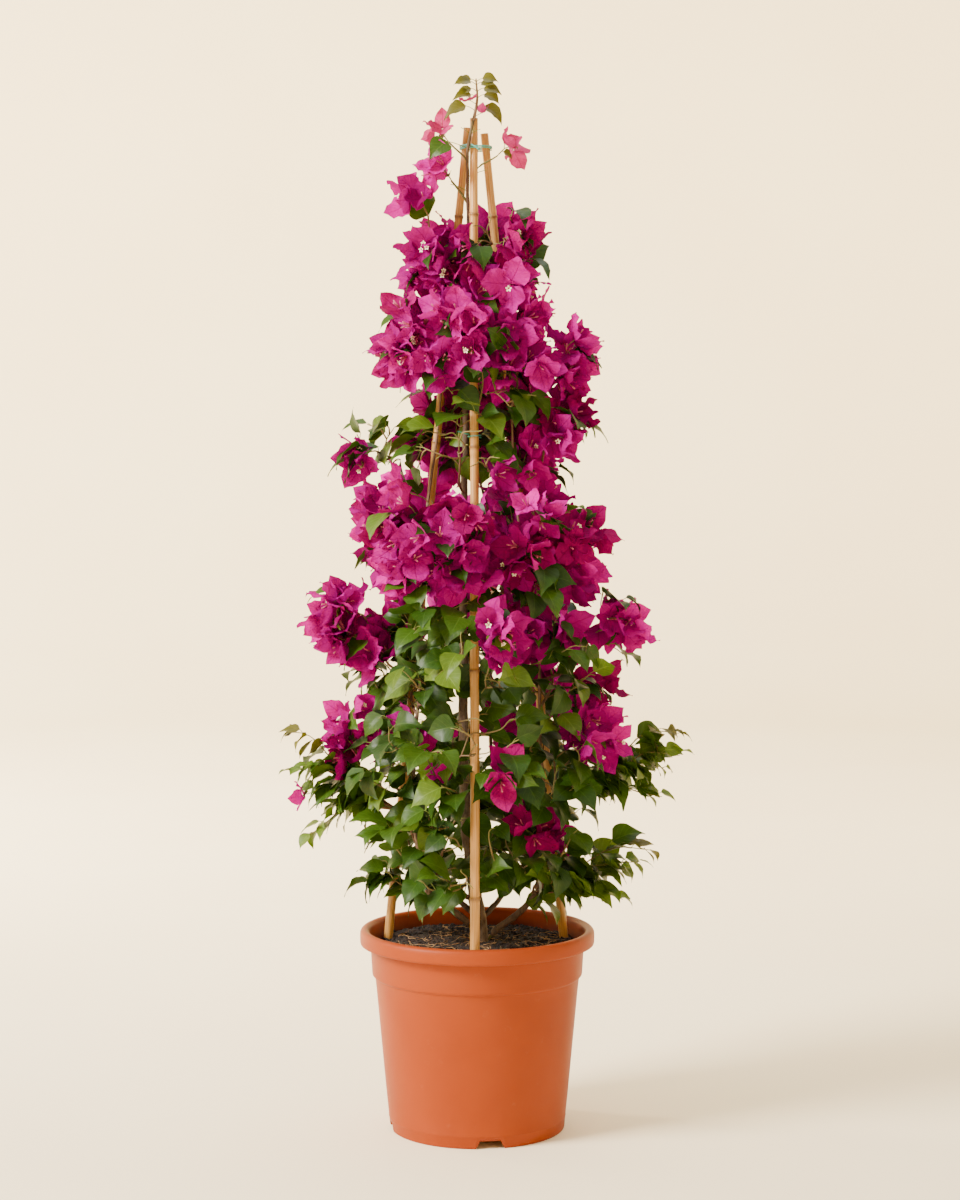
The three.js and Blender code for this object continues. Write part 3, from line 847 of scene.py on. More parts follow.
@dataclass
class Compost:
    """The compost: an uneven bed, loose crumbs, white perlite and fine dry roots."""

    finish: Peat = Peat()
    perlite: PlainGrain = PlainGrain("perlite", "F1EEE6", "CFC8BB", 1.2, 0.85)
    fibre: PlainGrain = PlainGrain("dry_root_fibre", "A98458", "5E4128", 4.0, 0.8)
    roughness: float = 2.4 * MM
    rings: int = 44
    spokes: int = 150
    crumb_size: float = 4.2 * MM
    crumb_density: float = 32000.0
    perlite_size: float = 3.3 * MM
    perlite_density: float = 4400.0
    fibres: int = 120

    def surface(self, x: Array, y: Array) -> Array:
        """The bed's height at a place.

        Args:
            x: Places along X.
            y: Places along Y.

        Returns:
            Heights.
        """
        reach = np.hypot(x, y) / self.radius
        mound = self.top - 2.6 * MM * reach**3
        broad = wobble(x * 55 + 3 * np.sin(y * 40), 1.0) + wobble(y * 62 + 2 * np.sin(x * 51), 2.0)
        fine = wobble(x * 330 + 2 * np.sin(y * 270), 5.0) * wobble(y * 350 + 2 * np.sin(x * 240), 3.0)
        return mound + self.roughness * (0.6 * broad + 0.7 * fine)

    def bed(self) -> bpy.types.Object:
        """The bed itself, closed below."""
        low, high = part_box("compost")
        self.top, self.radius = high[2], (high[0] - low[0]) / 2
        share = np.linspace(0.02, 1, self.rings)
        angles = np.linspace(0, 2 * math.pi, self.spokes, endpoint=False)
        reach = share[:, None] * self.radius * np.ones(self.spokes)
        x, y = reach * np.cos(angles), reach * np.sin(angles)
        points = np.stack([x, y, self.surface(x, y)], -1).reshape(-1, 3)
        skirt = points[-self.spokes :] * [0.985, 0.985, 1] - [0, 0, 30 * MM]
        centre = np.array([[0, 0, self.surface(np.array(0.0), np.array(0.0))], [0, 0, skirt[0][2]]])
        points = np.vstack([points, skirt, centre])
        count, step = self.spokes, np.arange(self.spokes)
        following = (step + 1) % count
        inner = np.stack([np.full(count, len(points) - 2), step, following], 1)
        rim = self.rings * count
        under = np.stack([np.full(count, len(points) - 1), rim + following, rim + step], 1)
        pile = MeshPile()
        pile.add(points, [grid_faces(self.rings + 1, count, wrap=True)[:, ::-1], inner, under])
        bed = pile.build("compost_bed", self.finish.material())
        return finished(bed, ["compost"])

    def scatter(
        self,
        bed: bpy.types.Object,
        name: str,
        material: bpy.types.Material,
        size: float,
        density: float,
    ) -> bpy.types.Object:
        """Scatter grains over the bed with a node tree.

        Args:
            bed: What they lie on.
            name: The new object's name.
            material: What they are made of.
            size: Their usual width.
            density: How many to a square metre.

        Returns:
            The grains as one mesh.
        """
        tree = bpy.data.node_groups.new(name, "GeometryNodeTree")
        close_by = tree.interface.new_socket("Density", in_out="INPUT", socket_type="NodeSocketFloat")
        width = tree.interface.new_socket("Grain size", in_out="INPUT", socket_type="NodeSocketFloat")
        ground = tree.interface.new_socket("Bed", in_out="INPUT", socket_type="NodeSocketObject")
        tree.interface.new_socket("Grains", in_out="OUTPUT", socket_type="NodeSocketGeometry")
        given = add(tree, "NodeGroupInput").outputs
        bed_mesh = add(tree, "GeometryNodeObjectInfo", {"Object": given["Bed"]}).outputs["Geometry"]
        upright = add(
            tree, "ShaderNodeSeparateXYZ", {0: add(tree, "GeometryNodeInputNormal").outputs[0]}
        ).outputs[2]
        on_top = add(tree, "FunctionNodeCompare", {0: upright, 1: 0.3}, operation="GREATER_THAN").outputs[0]
        points = add(
            tree,
            "GeometryNodeDistributePointsOnFaces",
            {"Mesh": bed_mesh, "Selection": on_top, "Density": given["Density"], "Seed": SEED},
        )
        ball = add(tree, "GeometryNodeMeshIcoSphere", {"Radius": 0.5, "Subdivisions": 1}).outputs["Mesh"]
        warp = add(tree, "ShaderNodeTexNoise", {"Scale": 1.6}).outputs["Color"]
        offset = add(
            tree, "ShaderNodeVectorMath", {0: warp, 1: (0.5, 0.5, 0.5)}, operation="SUBTRACT"
        ).outputs[0]
        lumpy = add(tree, "GeometryNodeSetPosition", {"Geometry": ball, "Offset": offset}).outputs[0]
        any_way = {1: (math.tau, math.tau, math.tau), "Seed": SEED + 1}
        turn = add(tree, "FunctionNodeRandomValue", any_way, data_type="FLOAT_VECTOR").outputs[0]
        vary = add(
            tree, "FunctionNodeRandomValue", {2: 0.35, 3: 1.5, "Seed": SEED + 2}, data_type="FLOAT"
        ).outputs[1]
        scale = add(
            tree, "ShaderNodeMath", {0: vary, 1: given["Grain size"]}, operation="MULTIPLY"
        ).outputs[0]
        laid = add(
            tree,
            "GeometryNodeInstanceOnPoints",
            {"Points": points.outputs["Points"], "Instance": lumpy, "Rotation": turn, "Scale": scale},
        ).outputs[0]
        real = add(tree, "GeometryNodeRealizeInstances", {"Geometry": laid}).outputs[0]
        dressed = add(tree, "GeometryNodeSetMaterial", {"Geometry": real, "Material": material}).outputs[0]
        add(tree, "NodeGroupOutput", {0: dressed})
        carrier = bpy.data.objects.new(name + "_carrier", bpy.data.meshes.new(name))
        bpy.context.scene.collection.objects.link(carrier)
        modifier = carrier.modifiers.new(name, "NODES")
        modifier.node_group = tree
        modifier[close_by.identifier] = density
        modifier[width.identifier] = size
        modifier[ground.identifier] = bed
        carrier.update_tag()
        evaluated = carrier.evaluated_get(bpy.context.evaluated_depsgraph_get())
        mesh = bpy.data.meshes.new_from_object(evaluated)
        bpy.data.objects.remove(carrier)
        grains = bpy.data.objects.new(name, mesh)
        bpy.context.scene.collection.objects.link(grains)
        return finished(grains)

    def roots(self) -> bpy.types.Object:
        """Fine dry roots that lie on the bed."""
        rng = np.random.default_rng(SEED + 7)
        pile = MeshPile()
        for _ in range(self.fibres):
            reach, angle = self.radius * 0.9 * math.sqrt(rng.random()), rng.random() * math.tau
            x, y = [reach * math.cos(angle)], [reach * math.sin(angle)]
            heading = rng.random() * math.tau
            for _ in range(7):
                heading += rng.normal(0, 0.55)
                x.append(x[-1] + 4.2 * MM * math.cos(heading))
                y.append(y[-1] + 4.2 * MM * math.sin(heading))
            if math.hypot(x[-1], y[-1]) > self.radius * 0.93:
                continue
            z = self.surface(np.array(x), np.array(y)) + 1.6 * MM + 1.2 * MM * rng.random(8)
            path = smooth_path(np.stack([x, y, z], 1), 14)
            points, faces, uv = tube(path, np.linspace(0.5, 0.2, 14) * MM, 4)
            pile.add(points, faces, uv)
        return finished(pile.build("root_fibres", self.fibre.material()))

    def build(self) -> None:
        """Build the bed and everything that lies on it."""
        bed = self.bed()
        self.scatter(bed, "compost_crumbs", self.finish.material(), self.crumb_size, self.crumb_density)
        self.scatter(bed, "perlite_grains", self.perlite.material(), self.perlite_size, self.perlite_density)
        self.roots()


# ---------------------------------------------------------------- reading the wood from the frame


@dataclass
class Limb:
    """The middle line and the radii of one piece of wood."""

    name: str
    path: Array
    radius: Array


def node_points(name: str) -> Array:
    """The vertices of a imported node."""
    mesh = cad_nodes()[name].data
    points = np.empty(len(mesh.vertices) * 3, np.float32)
    mesh.vertices.foreach_get("co", points)
    return points.reshape(-1, 3).astype(float)


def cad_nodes() -> dict[str, bpy.types.Object]:
    """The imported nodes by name."""
    return FRAME["nodes"]


def read_limb(name: str, slices: int) -> Limb:
    """Find a rising limb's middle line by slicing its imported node.

    Args:
        name: The node's name.
        slices: How many level cuts to make.

    Returns:
        The limb, from its foot up.
    """
    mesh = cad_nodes()[name].data
    points = node_points(name)
    edges = np.array([edge.vertices[:] for edge in mesh.edges])
    start, end = points[edges[:, 0]], points[edges[:, 1]]
    low, high = points[:, 2].min(), points[:, 2].max()
    path, radius = [], []
    for z in np.linspace(low + 0.02 * (high - low), high - 0.02 * (high - low), slices):
        crossing = (start[:, 2] - z) * (end[:, 2] - z) < 0
        if crossing.sum() < 4:
            continue
        a, b = start[crossing], end[crossing]
        share = ((z - a[:, 2]) / (b[:, 2] - a[:, 2]))[:, None]
        cut = a + share * (b - a)
        middle = (cut.min(0) + cut.max(0)) / 2
        spread = np.linalg.eigvalsh(np.cov((cut - middle)[:, :2].T))[0]
        path.append(middle)
        radius.append(math.sqrt(2 * max(spread, 1e-9)))
    return Limb(name, np.array(path), np.array(radius))


# ---------------------------------------------------------------- canes and ties


@dataclass
class Canes:
    """Three bamboo canes with knuckles and hollow tops."""

    finish: BambooRind = BambooRind()
    names: tuple[str, ...] = ("cane_front", "cane_left", "cane_right")
    knuckle_gap: float = 285 * MM
    first_knuckle: float = 71 * MM
    below: float = 14 * MM
    sides: int = 20
    step: float = 4 * MM

    def axis(self, name: str) -> tuple[Array, Array, float, float]:
        """Find a cane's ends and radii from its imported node.

        Args:
            name: The node's name.

        Returns:
            Foot, top, foot radius and top radius.
        """
        points = node_points(name)
        low = points[points[:, 2] < points[:, 2].min() + 8 * MM]
        high = points[points[:, 2] > points[:, 2].max() - 8 * MM]
        foot, top = (low.min(0) + low.max(0)) / 2, (high.min(0) + high.max(0)) / 2
        return foot, top, (np.ptp(low[:, 0])) / 2, (np.ptp(high[:, 0])) / 2

    def shape(self, name: str, seed: int) -> bpy.types.Object:
        """Build one cane.

        Args:
            name: The node that it stands for.
            seed: What makes its wander its own.

        Returns:
            The finished cane.
        """
        foot, top, foot_radius, top_radius = self.axis(name)
        way = unit(top - foot)
        foot = foot - way * self.below
        length = float(np.linalg.norm(top - foot))
        knuckles = np.arange(self.below + self.first_knuckle, length - 20 * MM, self.knuckle_gap)
        knuckles = knuckles + 6 * MM * wobble(np.arange(len(knuckles)) * 2.1, seed)
        at = list(np.arange(0, length, self.step))
        for knuckle in knuckles:
            at += list(knuckle + np.array([-5, -3, -2, -1.2, -0.5, 0, 0.6, 1.2, 2, 3.2, 5]) * MM)
        at = np.array(sorted(set(a for a in np.round(at, 5) if a < length - 0.5 * MM)) + [length])
        away = at[:, None] - knuckles[None]
        nearest = away[np.arange(len(at)), np.abs(away).argmin(1)]
        scarp = 0.55 * np.exp(-(((nearest - 2.6 * MM) / (1.0 * MM)) ** 2))
        ridge = np.exp(-((nearest / (1.7 * MM)) ** 2)) - scarp
        swell = 0.35 * np.exp(-((nearest / (9 * MM)) ** 2))
        radius = foot_radius + (top_radius - foot_radius) * at / length + (0.75 * ridge + swell) * MM
        bend = np.stack([wobble(at * 4.0, seed), wobble(at * 3.4, seed + 9.0), np.zeros(len(at))], 1)
        path = foot + way * at[:, None] + bend * 1.3 * MM * np.sin(math.pi * at / length)[:, None]
        turn = np.linspace(0, math.tau, self.sides, endpoint=False)
        flute_side = seed * 2.4 + math.pi * (np.searchsorted(knuckles, at) % 2)
        groove = np.exp(-(((turn[None] - flute_side[:, None] + math.pi) % math.tau - math.pi) / 0.28) ** 2)
        near = np.clip(1 - np.abs(nearest) / (130 * MM), 0, 1)
        unevenness = 0.1 * MM * wobble(turn[None] * 3 + at[:, None] * 20, seed)
        relief = -0.5 * MM * groove * near[:, None] + unevenness
        points, faces, uv = tube(path, radius, self.sides, relief)
        points, faces, uv = self.hollow(points, faces, uv, path, way)
        scar = np.clip(np.exp(-(((nearest + 0.4 * MM) / (2.6 * MM)) ** 2)), 0, 1)
        marks = np.concatenate(
            [np.repeat(scar, self.sides), np.full(len(points) - len(scar) * self.sides, 0.35)]
        )
        pile = MeshPile()
        pile.add(points, faces, uv, marks)
        cane = pile.build("bamboo_" + name.split("_")[1], self.finish.material(), mark="scar")
        return finished(cane, [name])

    def hollow(
        self, points: Array, faces: list, uv: Array, path: Array, way: Array
    ) -> tuple[Array, list, Array]:
        """Open the cut top: a rim of wood round a short bore.

        Args:
            points: The cane's vertices.
            faces: Its blocks of faces; the last is the cap that goes.
            uv: Its UV pairs.
            path: Its middle line.
            way: The direction of its top.

        Returns:
            The same three with the bore.
        """
        last = points[-self.sides :]
        first = len(points) - self.sides
        rings = [path[-1] + (last - path[-1]) * 0.58, path[-1] + (last - path[-1]) * 0.52 - way * 14 * MM]
        bore = grid_faces(3, self.sides, wrap=True) + first
        floor = (np.arange(self.sides) + first + 2 * self.sides)[None]
        extra = np.tile(uv[-self.sides :], (2, 1))
        return np.vstack([points, *rings]), [*faces[:-1], bore, floor], np.vstack([uv, extra])

    def build(self) -> None:
        """Build the three canes."""
        for seed, name in enumerate(self.names, 1):
            self.shape(name, seed)


@dataclass
class WireTies:
    """Coated wire: one turned round the three tops, and one hooked on the front cane."""

    finish: WireCoating = WireCoating()
    wire_radius: float = 0.8 * MM
    sides: int = 8

    def band(
        self,
        node: str,
        name: str,
        turns: float,
        tail: Sequence[tuple[float, float, float]],
    ) -> bpy.types.Object:
        """Wind a wire along the outline of a packed tie and twist its end.

        Args:
            node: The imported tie.
            name: The new object's name.
            turns: How many times it goes round.
            tail: Steps of its loose end, in millimetres.

        Returns:
            The finished tie.
        """
        points = node_points(node)
        middle = (points.min(0) + points.max(0)) / 2
        around = np.arctan2(points[:, 1] - middle[1], points[:, 0] - middle[0])
        reach = np.hypot(points[:, 0] - middle[0], points[:, 1] - middle[1])
        at = np.linspace(0, turns * math.tau, int(36 * turns))
        path = []
        for angle in at:
            near = np.abs((around - angle + math.pi) % math.tau - math.pi)
            outline = reach[near < 0.3].max() if (near < 0.3).any() else reach.max()
            rise = (angle / (turns * math.tau) - 0.5) * 5 * MM
            path.append(middle + [outline * math.cos(angle), outline * math.sin(angle), rise])
        path = np.array(path)
        padded = np.pad(path, ((4, 4), (0, 0)), "edge")
        path = np.stack([np.convolve(padded[:, k], np.ones(9) / 9, "valid") for k in range(3)], 1)
        end = path[-1] + np.cumsum(np.array(tail) * MM, axis=0)
        whole = smooth_path(np.vstack([path, end]), len(path) * 2)
        pile = MeshPile()
        pile.add(*tube(whole, np.full(len(whole), self.wire_radius), self.sides))
        return finished(pile.build(name, self.finish.material()), [node])

    def build(self) -> None:
        """Build both ties."""
        self.band("tie_top", "wire_top", 2.72, [(2, -3, -1), (4, -4, -3), (5, -2, -4)])
        self.band("tie_middle", "wire_middle", 1.6, [(-3, -2, 0), (-5, -2, 2), (-5, 0, 1)])


# ---------------------------------------------------------------- trunk and boughs


@dataclass
class OldWood:
    """The trunk and the boughs, with the bark's relief."""

    finish: Bark = Bark("bougainvillea_bark")
    bough_names: tuple[str, ...] = (
        "bough_left",
        "bough_right",
        "bough_front_left",
        "bough_front_right",
        "bough_back_left",
        "bough_back_right",
        "bough_top_left",
        "bough_top_left_high",
        "bough_top_right",
    )
    sides: int = 18
    step: float = 3.0 * MM
    ridge: float = 0.09

    def bark(self, path: Array, radius: Array, seed: float) -> Array:
        """The bark's relief along a limb.

        Args:
            path: Its middle line.
            radius: Its radii.
            seed: What makes it its own.

        Returns:
            Metres to add for each point and side.
        """
        turn = np.linspace(0, math.tau, self.sides, endpoint=False)[None]
        run = along(path)[:, None]
        twisted = turn + run * 9 + 0.6 * wobble(run * 60, seed)
        ridges = wobble(twisted * 3, seed) * 0.6 + wobble(twisted * 7 + run * 130, seed + 2) * 0.4
        knots = np.clip(wobble(run * 95 + turn, seed + 5), 0.55, 1) - 0.55
        return radius[:, None] * (self.ridge * ridges + 0.5 * knots)

    def limb_mesh(self, pile: MeshPile, limb: Limb, seed: float, reach_back: float) -> None:
        """Put one limb on the pile.

        Args:
            pile: Where it goes.
            limb: Its middle line and radii.
            seed: What makes its bark its own.
            reach_back: How far its foot runs on into what bears it.
        """
        path = limb.path
        if reach_back:
            path = np.vstack([path[0] - unit(path[1] - path[0]) * reach_back, path])
            limb.radius = np.concatenate([[limb.radius[0]], limb.radius])
        length = along(path)[-1]
        count = max(8, int(length / self.step))
        fine = smooth_path(path, count)
        wander = np.stack([wobble(along(fine) * 70, seed + k) for k in range(3)], 1) * [1, 1, 0]
        radius = np.interp(along(fine), np.linspace(0, length, len(limb.radius)), limb.radius)
        fine = fine + wander * np.minimum(0.35 * radius, 1.2 * MM)[:, None]
        points, faces, uv = tube(fine, radius, self.sides, self.bark(fine, radius, seed))
        pile.add(points, faces, uv, np.repeat(np.clip(radius / (7 * MM), 0.2, 1), self.sides))

    def build(self) -> list[Limb]:
        """Build the old wood.

        Returns:
            The limbs that twigs can grow from, trunk first.
        """
        trunk = read_limb("trunk", 60)
        trunk.path[0][2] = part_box("trunk")[0][2] - 6 * MM
        limbs = [trunk] + [read_limb(name, 14) for name in self.bough_names]
        pile = MeshPile()
        for seed, limb in enumerate(limbs):
            self.limb_mesh(pile, limb, 1.3 * seed + 0.7, 0.0 if limb is trunk else 6 * MM)
        wood = pile.build("trunk_and_boughs", self.finish.material(), mark="age")
        finished(wood, ["trunk", *self.bough_names])
        return limbs


# ---------------------------------------------------------------- blades


@dataclass(frozen=True)
class BladeShape:
    """The outline and the relief of one leaf or bract, one unit long from stalk to tip."""

    outline: tuple[tuple[float, float], ...]
    rows: int
    columns: int
    fold: float
    arch: float
    wave: float
    waves: float
    tip_curl: float = 0.0
    crumple: float = 0.0

    def mesh(self, seed: float) -> tuple[Array, Array, Array]:
        """Shape one blade.

        Args:
            seed: What makes its waves its own.

        Returns:
            Vertices, quads and UV pairs. It lies along Y with its upper side to +Z.
        """
        v = np.linspace(0, 1, self.rows) ** 0.92
        u = np.linspace(-1, 1, self.columns)
        known = np.array(self.outline)
        curve = smooth_path(np.column_stack([known, np.zeros(len(known))]), 80)
        half = np.maximum(np.interp(v, curve[:, 0], curve[:, 1]), 0.004)
        across, up = np.meshgrid(u, v)
        width = half[:, None] * across
        lift = self.fold * np.abs(width)
        lift = lift + self.arch * (np.sin(math.pi * up * 0.5) - up) - self.tip_curl * up**3
        ripple = wobble(up * self.waves + seed * 3 + np.sign(across) * 1.7, seed)
        lift = lift + self.wave * ripple * np.abs(across) ** 1.5
        creases = wobble(up * 15 + across * 4 * math.sin(seed) + seed, seed + 4)
        creases = creases * wobble(across * 5 + seed, seed + 6)
        lift = lift + self.crumple * creases * np.sin(math.pi * up)
        sway = 0.06 * math.sin(seed * 5) * up**2
        points = np.stack([width + sway, up - 0.12 * self.arch * up**2, lift], -1).reshape(-1, 3)
        uv = np.stack([across / 2 + 0.5, up], -1).reshape(-1, 2)
        return points, grid_faces(self.rows, self.columns), uv


LEAF = BladeShape(
    outline=(
        (0.0, 0.05),
        (0.04, 0.24),
        (0.12, 0.36),
        (0.24, 0.41),
        (0.38, 0.405),
        (0.54, 0.34),
        (0.7, 0.225),
        (0.83, 0.105),
        (0.92, 0.04),
        (1.0, 0.006),
    ),
    rows=12,
    columns=7,
    fold=0.24,
    arch=0.3,
    wave=0.04,
    waves=8.0,
    tip_curl=0.18,
    crumple=0.02,
)
BRACT = BladeShape(
    outline=(
        (0.0, 0.06),
        (0.07, 0.22),
        (0.18, 0.34),
        (0.34, 0.42),
        (0.5, 0.42),
        (0.66, 0.34),
        (0.8, 0.22),
        (0.91, 0.1),
        (1.0, 0.01),
    ),
    rows=9,
    columns=7,
    fold=0.1,
    arch=-0.7,
    wave=0.12,
    waves=12.0,
    tip_curl=0.1,
    crumple=0.07,
)


# a bract is thin dry paper: hardly any shine, with raised veins and a crinkled face
PAPERY = {
    "roughness": 0.64,
    "vein_show": 0.5,
    "vein_pairs": 7.0,
    "crinkle": 0.9,
    "crinkle_mm": 4.0,
    "gloss": 0.05,
}
# a young one is smoother and a little fresher
TENDER = {**PAPERY, "roughness": 0.6, "crinkle": 0.7, "gloss": 0.1}


class Tone(Enum):
    """The plain base colours that are dealt out by spray."""

    LEAF_DEEP = LeafBlade("leaf_deep_green", "243E0A", "4A6828", "3E5C0A", through=0.16, gloss=0.26)
    LEAF_MID = LeafBlade("leaf_mid_green", "344F0E", "5C7A32", "4E6C0C", through=0.18, gloss=0.26)
    LEAF_FRESH = LeafBlade("leaf_fresh_green", "4C6416", "7E9644", "627C10", through=0.2, gloss=0.26)
    LEAF_BRONZE = LeafBlade("leaf_young_bronze", "565410", "80722E", "6A6412", through=0.2, gloss=0.26)
    BRACT_DEEP = LeafBlade(
        "bract_deep_magenta", "92005E", "5C0036", "860058", through=0.3, spread=0.4, **PAPERY
    )
    BRACT_MID = LeafBlade("bract_magenta", "A8007E", "6E004C", "9C0078", through=0.32, spread=0.4, **PAPERY)
    BRACT_BRIGHT = LeafBlade(
        "bract_bright_magenta", "CA009A", "8A0062", "BC0092", through=0.34, spread=0.35, **PAPERY
    )
    BRACT_YOUNG = LeafBlade(
        "bract_young_rose", "BA3474", "881C4A", "B83460", through=0.3, spread=0.3, **TENDER
    )


@dataclass
class BladeStore:
    """Ready shapes of leaves, bracts and flowers, and the piles they are laid on."""

    leaf_shapes: int = 10
    bract_shapes: int = 12
    piles: dict[Tone, MeshPile] = field(default_factory=lambda: {tone: MeshPile() for tone in Tone})
    tubes: MeshPile = field(default_factory=MeshPile)
    stars: MeshPile = field(default_factory=MeshPile)
    green: MeshPile = field(default_factory=MeshPile)
    clearings: list["Clearing"] = field(default_factory=list)
    overhang: float = 14 * MM
    stalk_age: float = 0.06

    def __post_init__(self) -> None:
        """Shape the blades once."""
        self.leaves = [LEAF.mesh(0.9 * i + 0.4) for i in range(self.leaf_shapes)]
        self.bracts = [BRACT.mesh(1.1 * i + 0.7) for i in range(self.bract_shapes)]
        self.star = self.star_mesh()

    def star_mesh(self) -> tuple[Array, list]:
        """A small open flower: five notched lobes round a shallow throat, one unit across."""
        turn = np.linspace(0, math.tau, 20, endpoint=False)
        reach = 0.5 * np.array([1.0, 0.8, 0.46, 0.8] * 5)
        outer = np.stack([reach * np.cos(turn), reach * np.sin(turn), np.full(20, 0.1)], 1)
        inner = np.stack([0.2 * np.cos(turn), 0.2 * np.sin(turn), np.full(20, 0.02)], 1)
        base = np.stack([0.15 * np.cos(turn), 0.15 * np.sin(turn), np.full(20, -0.3)], 1)
        return np.vstack([base, inner, outer]), [grid_faces(3, 20, wrap=True), np.arange(20)[::-1][None]]

    def blocked(self, points: Array) -> bool:
        """Whether a blade would hang in a clearing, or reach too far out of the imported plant's box."""
        if (points < PLANT_LOW - self.overhang).any() or (points > PLANT_HIGH + self.overhang).any():
            return True
        return any(clearing.holds(points) for clearing in self.clearings)

    def lay_leaf(
        self,
        tone: Tone,
        base: Array,
        axis: Array,
        normal: Array,
        length: float,
        rng: Chance,
    ) -> bool:
        """Lay one leaf, unless it would hang in a clearing.

        Args:
            tone: Its tone.
            base: Where its blade meets its stalk.
            axis: Where its tip points.
            normal: Where its upper side looks.
            length: Its length.
            rng: The source of its small differences.

        Returns:
            Whether it was laid.
        """
        points, quads, uv = self.leaves[rng.integers(self.leaf_shapes)]
        stretch = np.array([rng.uniform(0.9, 1.12), 1.0, rng.uniform(0.5, 1.3)]) * length
        placed = (points * stretch) @ facing(axis, normal) + base
        if self.blocked(placed):
            return False
        self.piles[tone].add(placed, [quads], uv, rng.random())
        return True

    def lay_triad(
        self,
        tone: Tone,
        base: Array,
        axis: Array,
        length: float,
        rng: Chance,
        open_share: float,
    ) -> bool:
        """Lay three bracts round their flowers, unless they would hang in a clearing.

        Args:
            tone: The bracts' tone.
            base: Where they meet their stalk.
            axis: Where the cup opens to.
            length: The bracts' length.
            rng: The source of their small differences.
            open_share: The chance that a flower is open.

        Returns:
            Whether they were laid.
        """
        axis = unit(axis)
        side = unit(np.cross(axis, UP + 0.01 * rng.normal(size=3)))
        other = np.cross(axis, side)
        spin, shade, spread = rng.random() * math.tau, rng.random(), rng.uniform(0.3, 0.95)
        blades, outs = [], []
        for k in range(3):
            angle = spin + k * math.tau / 3 + rng.normal(0, 0.12)
            out = math.cos(angle) * side + math.sin(angle) * other
            opening = spread + rng.normal(0, 0.12)
            way = math.cos(opening) * axis + math.sin(opening) * out
            inward = math.cos(opening) * -out + math.sin(opening) * axis
            points, quads, uv = self.bracts[rng.integers(self.bract_shapes)]
            stretch = np.array([rng.uniform(0.98, 1.18), 1.0, rng.uniform(0.7, 1.4)]) * length
            sized = points * stretch * rng.uniform(0.92, 1.08)
            placed = sized @ facing(way, inward) + base + out * 0.6 * MM
            blades.append((placed, quads, uv, np.clip(shade + rng.normal(0, 0.14), 0, 1)))
            outs.append(out)
        if any(self.blocked(blade[0]) for blade in blades):
            return False
        for placed, quads, uv, mark in blades:
            self.piles[tone].add(placed, [quads], uv, mark)
        for out in outs[: int(rng.integers(1, 4))]:
            self.lay_flower(base + out * 1.2 * MM, axis, out, length, rng, open_share)
        return True

    def lay_flower(
        self,
        base: Array,
        axis: Array,
        out: Array,
        length: float,
        rng: Chance,
        open_share: float,
    ) -> None:
        """Lay one slim tube, with a star at its mouth when it is open.

        Args:
            base: Where it starts.
            axis: The cup's direction.
            out: Its own side of the cup.
            length: The bracts' length.
            rng: The source of its small differences.
            open_share: The chance that it is open.
        """
        reach = length * rng.uniform(0.42, 0.56)
        way = unit(axis + 0.22 * out)
        middle = base + axis * reach * 0.5 + out * 0.8 * MM
        end = base + way * reach
        path = smooth_path([base, middle, end], 4)
        swell = np.array([0.7, 1.15, 0.85, 1.0]) * MM * length / 0.034
        points, faces, uv = tube(path, swell, 5)
        self.tubes.add(points, faces, uv, rng.random())
        if rng.random() < open_share:
            star, star_faces = self.star
            x, y, z = facing(unit(np.cross(way, UP) + 0.01), way)
            turned = (star * rng.uniform(7.0, 8.6) * MM) @ np.stack([x, y, z])
            self.stars.add(turned + end, star_faces, None, rng.random())

    def lay_stalk(self, start: Array, end: Array, bend: Array, radius: float) -> None:
        """Lay a leaf's or a flower's stalk.

        Args:
            start: Its foot.
            end: Its top.
            bend: How far its middle is off the straight line.
            radius: Its radius.
        """
        path = smooth_path([start, (start + end) / 2 + bend, end], 4)
        points, faces, uv = tube(path, np.array([1.25, 1.0, 0.9, 0.9]) * radius, 4)
        self.green.add(points, faces, uv, self.stalk_age)


# ---------------------------------------------------------------- the crown


@dataclass(frozen=True)
class Clearing:
    """A stretch of a cane that no leaf or bract hangs in front of."""

    cane: str
    low: float
    high: float
    half_width: float

    def holds(self, points: Array) -> bool:
        """Whether any of the points hangs in front of the stretch."""
        foot, top = CANE_LINES[self.cane]
        share = (points[:, 2] - foot[2]) / (top[2] - foot[2])
        beside = np.abs(points[:, 0] - foot[0] - share * (top[0] - foot[0])) < self.half_width
        before = points[:, 1] < foot[1] + share * (top[1] - foot[1]) + 4 * MM
        return bool((beside & before & (points[:, 2] > self.low) & (points[:, 2] < self.high)).any())


CLEARINGS = (
    Clearing("cane_front", 236 * MM, 432 * MM, 10 * MM),
    Clearing("cane_front", 490 * MM, 556 * MM, 9 * MM),
    Clearing("cane_front", 572 * MM, 626 * MM, 8 * MM),
    Clearing("cane_front", 806 * MM, 892 * MM, 9 * MM),
    Clearing("cane_left", 806 * MM, 892 * MM, 9 * MM),
    Clearing("cane_left", 1150 * MM, 1275 * MM, 10 * MM),
    Clearing("cane_front", 1180 * MM, 1285 * MM, 10 * MM),
    Clearing("cane_right", 1130 * MM, 1268 * MM, 9 * MM),
)


@dataclass(frozen=True)
class Patch:
    """A place on the crown's front where the sprays end in blossom."""

    x: float
    z: float
    half_width: float
    half_height: float

    def holds(self, point: Array) -> bool:
        """Whether a spray that ends at a point is in it."""
        across = (point[0] - self.x) / self.half_width
        return bool(across**2 + ((point[2] - self.z) / self.half_height) ** 2 < 1)


